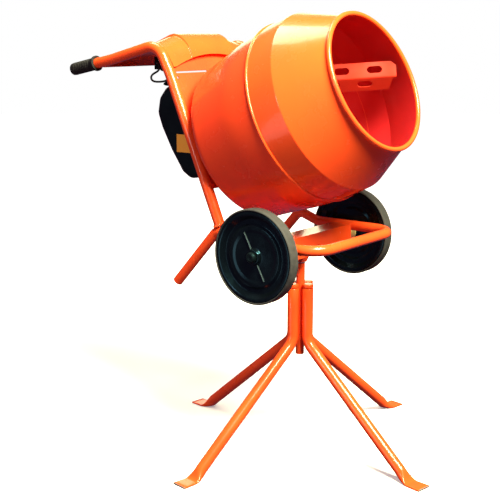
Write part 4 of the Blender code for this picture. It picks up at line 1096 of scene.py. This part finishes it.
def drum():
    """The pan, the cone with its rolled rim, the seam bead, and the parts at the back."""
    corner = (BACK_S + CORNER_RADIUS, BACK_RADIUS - CORNER_RADIUS)
    hole = 0.0300
    seam_low = SEAM_S - 0.006
    outside = [Vector((hole, BACK_S)), Vector((0.085, BACK_S)), Vector((0.150, BACK_S))]
    outside += [Vector((r, s)) for s, r in arc_points(corner, CORNER_RADIUS, 180, 95, 14)]
    outside += curve_through([(BACK_RADIUS + 0.0005, -0.200), (0.2700, -0.120), (0.2790, -0.050),
                              (PAN_RADIUS, seam_low)], 8)[1:]
    inside = [Vector((hole, BACK_S + DRUM_WALL)), Vector((0.150, BACK_S + DRUM_WALL))]
    inside += [Vector((r, s)) for s, r in arc_points(corner, CORNER_RADIUS - DRUM_WALL, 180, 95, 10)]
    inside += [Vector((0.2700 - DRUM_WALL, -0.120)), Vector((0.2790 - DRUM_WALL, -0.050)),
               Vector((PAN_RADIUS - DRUM_WALL, seam_low))]
    # The pan takes the darker, redder copy of the orange: painted shade.
    pan = piece("drum_pan_shell", turned(outside + inside[::-1], FINE), PAN_SHADE_PAINT, "drum", ["drum_pan"], place=DRUM,
                smooth=25)
    paint_inside_shade(pan, DRUM_WALL)

    slant = math.atan2(CREASE_RADIUS - MOUTH_RADIUS, MOUTH_S - CREASE_S)
    wall = DRUM_WALL / math.cos(slant)
    rim_centre = (MOUTH_RADIUS + RIM_RADIUS * 0.45, MOUTH_S - RIM_RADIUS)
    rim = [Vector(point) for point in arc_points(rim_centre, RIM_RADIUS, -60, 200, 26)]
    neck = Vector((MOUTH_RADIUS + 0.0010, MOUTH_S - 0.0150))
    shell = [(SEAM_RADIUS - 0.0020, SEAM_S + 0.006), (SEAM_RADIUS - 0.0025, SEAM_S + 0.020),
             (CREASE_RADIUS + 0.0004, CREASE_S), neck]
    lining = [neck - Vector((wall, 0)), (CREASE_RADIUS - 0.0004 - wall, CREASE_S),
              (SEAM_RADIUS - 0.0025 - DRUM_WALL, SEAM_S + 0.020), (SEAM_RADIUS - 0.0020 - DRUM_WALL, SEAM_S + 0.006)]
    outer = rounded([Vector(point) for point in shell], 0.012, 8, closed=False)
    inner = rounded([Vector(point) for point in lining], 0.012, 8, closed=False)
    cone = piece("drum_cone_shell", turned(outer + rim + inner[1:], FINE), PAINT, "drum", ["drum_cone"], place=DRUM,
                 smooth=25)
    paint_inside_shade(cone, DRUM_WALL)

    low = SEAM_S - 0.006
    high = SEAM_S + 0.006
    inner_radius = PAN_RADIUS - DRUM_WALL
    band = [(inner_radius, low), (SEAM_RADIUS - 0.0028, low)]
    band += arc_points((SEAM_RADIUS - 0.0026, SEAM_S), 0.0046, -75, 75, 16)
    band += [(SEAM_RADIUS - 0.0022, high), (inner_radius, high)]
    band = [Vector((r, s)) for r, s in band]
    seam = piece("drum_seam_bead", turned(band, FINE), PAINT, "drum", ["drum_seam"], place=DRUM, smooth=40)
    paint_inside_shade(seam, DRUM_WALL)

    cad_finish("drum_backing", STEEL)
    cad_finish("drum_shaft", STEEL)
    for k in range(6):
        angle = math.radians(60 * k + 15)
        spot = Vector((0.066 * math.cos(angle), 0.066 * math.sin(angle), BACK_S + DRUM_WALL + 0.0004))
        piece("drum_bolt_%d" % k, bolt_mesh(0.0120), STEEL, "drum", (), DRUM @ Matrix.Translation(spot))


def curve_through(points, steps):
    """A smooth curve through the points, in the plane."""
    flat = smooth_route([(x, y, 0) for x, y in points], steps)
    return [point.xy for point in flat]


PADDLE_HALF = 0.0235
PADDLE_THICK = 0.005
PADDLE_FRONT = (0.0470, 0.1990, 0.2480)
PADDLE_REAR = (0.1980, -0.1150, -0.1980)
FLANGE = 0.046
FLANGE_STUB = 0.004
FOLD = math.radians(45)
BLADE_SLOTS = 5
BLADE_SLOT_PITCH = 0.100
BLADE_SLOT_LENGTH = 0.046
BLADE_SLOT_WIDTH = 0.021
FACE_FIRST_SLOT = 0.066
FLANGE_FIRST_SLOT = 0.097
FLANGE_SLOT_IN = 0.021


def blade_section(face_share, flange):
    """The folded section as (width, depth) points, with a rounded fold."""
    half = PADDLE_THICK / 2
    mitre = half * math.tan(FOLD / 2)
    reach = Vector((-math.cos(FOLD), math.sin(FOLD)))
    outward = Vector((-math.sin(FOLD), -math.cos(FOLD))) * half
    tip = Vector((-PADDLE_HALF, 0)) + reach * flange
    top = PADDLE_HALF * face_share
    outer = rounded([(top, -half), (-PADDLE_HALF - mitre, -half), tip + outward], 0.008, 6, closed=False)
    inner = rounded([tip - outward, (-PADDLE_HALF + mitre, half), (top, half)], 0.004, 6, closed=False)
    return outer + inner


def paddle(number, turn):
    """A mixing blade: a folded bar with two rows of slots, welded at both ends."""
    front, rear = (Vector((-n, y, s)) for n, y, s in (PADDLE_FRONT, PADDLE_REAR))
    along = (rear - front).normalized()
    upright = Vector((-1, 0, 0))
    wide = (upright - along * upright.dot(along)).normalized()
    flat = along.cross(wide)
    length = (rear - front).length
    build = bmesh.new()
    stations = [(0.0, 0.45, FLANGE_STUB), (0.011, 0.83, FLANGE_STUB), (0.016, 1.0, 0.020), (0.024, 1.0, FLANGE),
                (length, 1.0, FLANGE)]
    rings = []
    for reach, share, flange in stations:
        section = blade_section(share, flange)
        rings.append([front + along * reach + wide * point.x + flat * point.y for point in section])
    loft_rings(build, rings)
    place = DRUM @ Matrix.Rotation(turn, 4, "Z")
    blade = piece("mixing_blade_%d" % number, build, BLADE_SHADE_PAINT, "drum", ["paddle_%d" % number], place=place)
    slots = bmesh.new()
    down = flat * math.sin(FOLD) - wide * math.cos(FOLD)
    rows = [(FACE_FIRST_SLOT, Vector((0, 0, 0)), wide),
            (FLANGE_FIRST_SLOT, down * FLANGE_SLOT_IN - wide * PADDLE_HALF, down)]
    straight = (BLADE_SLOT_LENGTH - BLADE_SLOT_WIDTH) / 2
    ends = [(x + straight, y) for x, y in arc_points((0, 0), BLADE_SLOT_WIDTH / 2, -90, 90, 12)]
    ends += [(x - straight, y) for x, y in arc_points((0, 0), BLADE_SLOT_WIDTH / 2, 90, 270, 12)]
    for first, offset, across_slot in rows:
        through = along.cross(across_slot) * 0.01
        for k in range(BLADE_SLOTS):
            centre = front + along * (first + BLADE_SLOT_PITCH * k) + offset
            outline = [centre + along * x + across_slot * y for x, y in ends]
            loft_rings(slots, [[point - through for point in outline], [point + through for point in outline]])
    cut_away(blade, slots, "mixing_blade_slots", place)
    bevelled(squared(blade), 0.0008, 2)


# ---------------------------------------------------------------- switch and lead
LEAD_RADIUS = 0.0032
LEAD_EASING = 24             # rounds of averaging that even out the lead's bends
LEAD_ROUTE = [(-0.5250, -0.0620, 1.2100), (-0.5250, -0.0720, 1.2100), (-0.5230, -0.0825, 1.2105),
              (-0.5165, -0.0940, 1.2112), (-0.5065, -0.1055, 1.2120), (-0.4945, -0.1170, 1.2128),
              (-0.4810, -0.1280, 1.2130), (-0.4680, -0.1375, 1.2105), (-0.4580, -0.1450, 1.2045),
              (-0.4528, -0.1500, 1.1965), (-0.4575, -0.1535, 1.1882), (-0.4670, -0.1560, 1.1833),
              (-0.4770, -0.1580, 1.1785), (-0.4830, -0.1595, 1.1705), (-0.4805, -0.1605, 1.1612),
              (-0.4705, -0.1607, 1.1560), (-0.4580, -0.1602, 1.1550), (-0.4420, -0.1588, 1.1555),
              (-0.4260, -0.1560, 1.1575), (-0.4130, -0.1512, 1.1635), (-0.4070, -0.1450, 1.1735),
              (-0.4105, -0.1382, 1.1835), (-0.4210, -0.1312, 1.1890), (-0.4335, -0.1252, 1.1865),
              (-0.4425, -0.1215, 1.1770), (-0.4480, -0.1200, 1.1620)]


def gland(name, node, tip, direction, length):
    """A ribbed strain relief whose narrow end is at the tip."""
    outline = [(0, 0), (LEAD_RADIUS + 0.0010, 0)]
    for k in range(4):
        low = length * (0.06 + 0.15 * k)
        size = LEAD_RADIUS + 0.0012 + 0.0006 * k
        outline += [(size + 0.0006, low), (size + 0.0006, low + length * 0.07), (size - 0.0002, low + length * 0.085),
                    (size - 0.0002, low + length * 0.14)]
    nut = LEAD_RADIUS + 0.0060
    outline += [(nut, length * 0.72), (nut, length), (0, length)]
    piece(name, turned(rounded(outline, 0.0005, 3)), GRAINED, "mixer_frame", [node],
          STAND @ along_axis(tip, direction))


def lead_and_switch():
    """The switch box with its buttons and inlet, and the short lead down to the motor."""
    path = smooth_route(LEAD_ROUTE)
    for _ in range(LEAD_EASING):
        path[2:-2] = [(before + 2 * here + after) / 4 for before, here, after in zip(path[1:], path[2:-2], path[3:])]
    cable = piece("motor_cable", swept(path, LEAD_RADIUS, 20), RUBBER, "mixer_frame", ["motor_lead"])
    start = path[0] - (path[1] - path[0]).normalized() * GAP
    box_side = abs(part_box("switch_box")[0].y)
    gland("cable_gland_switch", "lead_gland_switch", start, (0, 1, 0), -start.y - box_side - GAP)
    stop = path[-1] + (path[-1] - path[-2]).normalized() * GAP
    gland("cable_gland_cover", "lead_gland_cover", stop, (-0.28, 0, -0.96), 0.0190)
    cad_finish("switch_box", GRAINED, 0.0018, 3)
    cad_finish("power_inlet", GRAINED, 0.0006, 2)
    cad_finish("start_button", GREEN, 0.0006, 2)
    cad_finish("stop_button", RED, 0.0006, 2)


# ---------------------------------------------------------------- studio
CAMERA_TURN = 38.337         # the camera's heading, pitch and place, from the stand's axis
CAMERA_PITCH = 11.948
CAMERA_PLACE = (1.853, -2.601, 1.314)
FLOOR_RADIUS = 14.0
GLOW_START = 1.1             # from here outwards the paper glows more and more
GLOW_FULL = 3.0

# name, place, size, watts and colour of each soft light
LIGHTS = (("key", (2.0, -0.6, 3.3), 1.5, 660.0, (1.0, 0.96, 0.64)),
          ("top", (-0.9, 0.1, 3.1), 1.1, 60.0, (1.0, 0.96, 0.70)),
          ("fill", (-0.9, -4.2, 1.7), 1.1, 36.0, (1.0, 0.84, 0.82)),
          ("low", (-0.4, -2.4, 0.25), 1.0, 8.0, (1.0, 0.84, 0.76)),
          ("rear", (-2.9, 3.2, 1.9), 2.2, 58.0, (1.0, 0.86, 0.55)))


def studio_paper():
    """Plain white paper, lit from below away from the object, so that only the contact shadows show."""
    finish = Finish("studio_paper", 0.9)
    mottle = finish.spread(finish.noise(0.8, 3.0), 0.3, 0.7)
    finish.colour(finish.mixed(mottle, (0.90, 0.895, 0.885), (0.92, 0.915, 0.910)))
    finish.shader.inputs["Specular IOR Level"].default_value = 0.1
    finish.shader.inputs["Emission Color"].default_value = (1.0, 0.995, 0.985, 1.0)
    square_x = finish.sums("POWER", finish.axis("X"), 2.0)
    square_y = finish.sums("POWER", finish.axis("Y"), 2.0)
    reach = finish.sums("POWER", finish.sums("ADD", square_x, square_y), 0.5)
    glow = finish.spread(reach, GLOW_START, GLOW_FULL, 0.30, 1.0)
    finish.links.new(glow, finish.shader.inputs["Emission Strength"])
    return finish.material


def studio_world():
    """White behind the object, and a dim warm glow as light."""
    world = bpy.data.worlds.new("studio")
    bpy.context.scene.world = world
    world.use_nodes = True
    nodes, links = world.node_tree.nodes, world.node_tree.links
    glow = nodes["Background"]
    glow.inputs["Color"].default_value = (1.0, 0.45, 0.80, 1.0)
    glow.inputs["Strength"].default_value = 0.14
    backdrop = nodes.new("ShaderNodeBackground")
    backdrop.inputs["Color"].default_value = (1.0, 1.0, 1.0, 1.0)
    seen = nodes.new("ShaderNodeLightPath").outputs["Is Camera Ray"]
    mix = nodes.new("ShaderNodeMixShader")
    links.new(seen, mix.inputs[0])
    links.new(glow.outputs[0], mix.inputs[1])
    links.new(backdrop.outputs[0], mix.inputs[2])
    links.new(mix.outputs[0], nodes["World Output"].inputs["Surface"])


def studio():
    """A pale paper floor, soft lights and the camera."""
    mesh = bpy.data.meshes.new("studio_floor")
    build = bmesh.new()
    bmesh.ops.create_circle(build, cap_ends=True, segments=MEDIUM, radius=FLOOR_RADIUS)
    build.to_mesh(mesh)
    build.free()
    mesh.materials.append(studio_paper())
    paper = bpy.data.objects.new("studio_floor", mesh)
    bpy.context.collection.objects.link(paper)
    paper.location = (0, 0, -GAP)
    paper.visible_glossy = False
    paper.visible_diffuse = False
    studio_world()

    target = Vector((0.0, 0.0, 0.85))
    for name, place, size, power, colour in LIGHTS:
        light = bpy.data.lights.new(name, "AREA")
        light.shape = "SQUARE"
        light.size = size
        light.energy = power
        light.color = colour
        lamp = bpy.data.objects.new(name, light)
        lamp.location = place
        lamp.rotation_euler = (target - Vector(place)).to_track_quat("-Z", "Y").to_euler()
        bpy.context.collection.objects.link(lamp)

    lens = bpy.data.cameras.new("camera")
    lens.sensor_width = 36.0
    lens.lens = 74.523
    camera = bpy.data.objects.new("camera", lens)
    camera.location = (STAND_X + CAMERA_PLACE[0], CAMERA_PLACE[1], CAMERA_PLACE[2])
    camera.rotation_euler = (math.radians(90 - CAMERA_PITCH), 0, math.radians(CAMERA_TURN))
    bpy.context.collection.objects.link(camera)
    bpy.context.scene.camera = camera
    bpy.context.scene.view_settings.view_transform = "Standard"


stand()
swivel()
chassis()
axle_bar()
wheel(1, "left")
wheel(-1, "right")
handles()
hood()
bulkhead()
drive()
rear_cover()
drum()
paddle(1, 0.0)
paddle(2, math.pi)
lead_and_switch()
studio()

bpy.context.view_layer.update()
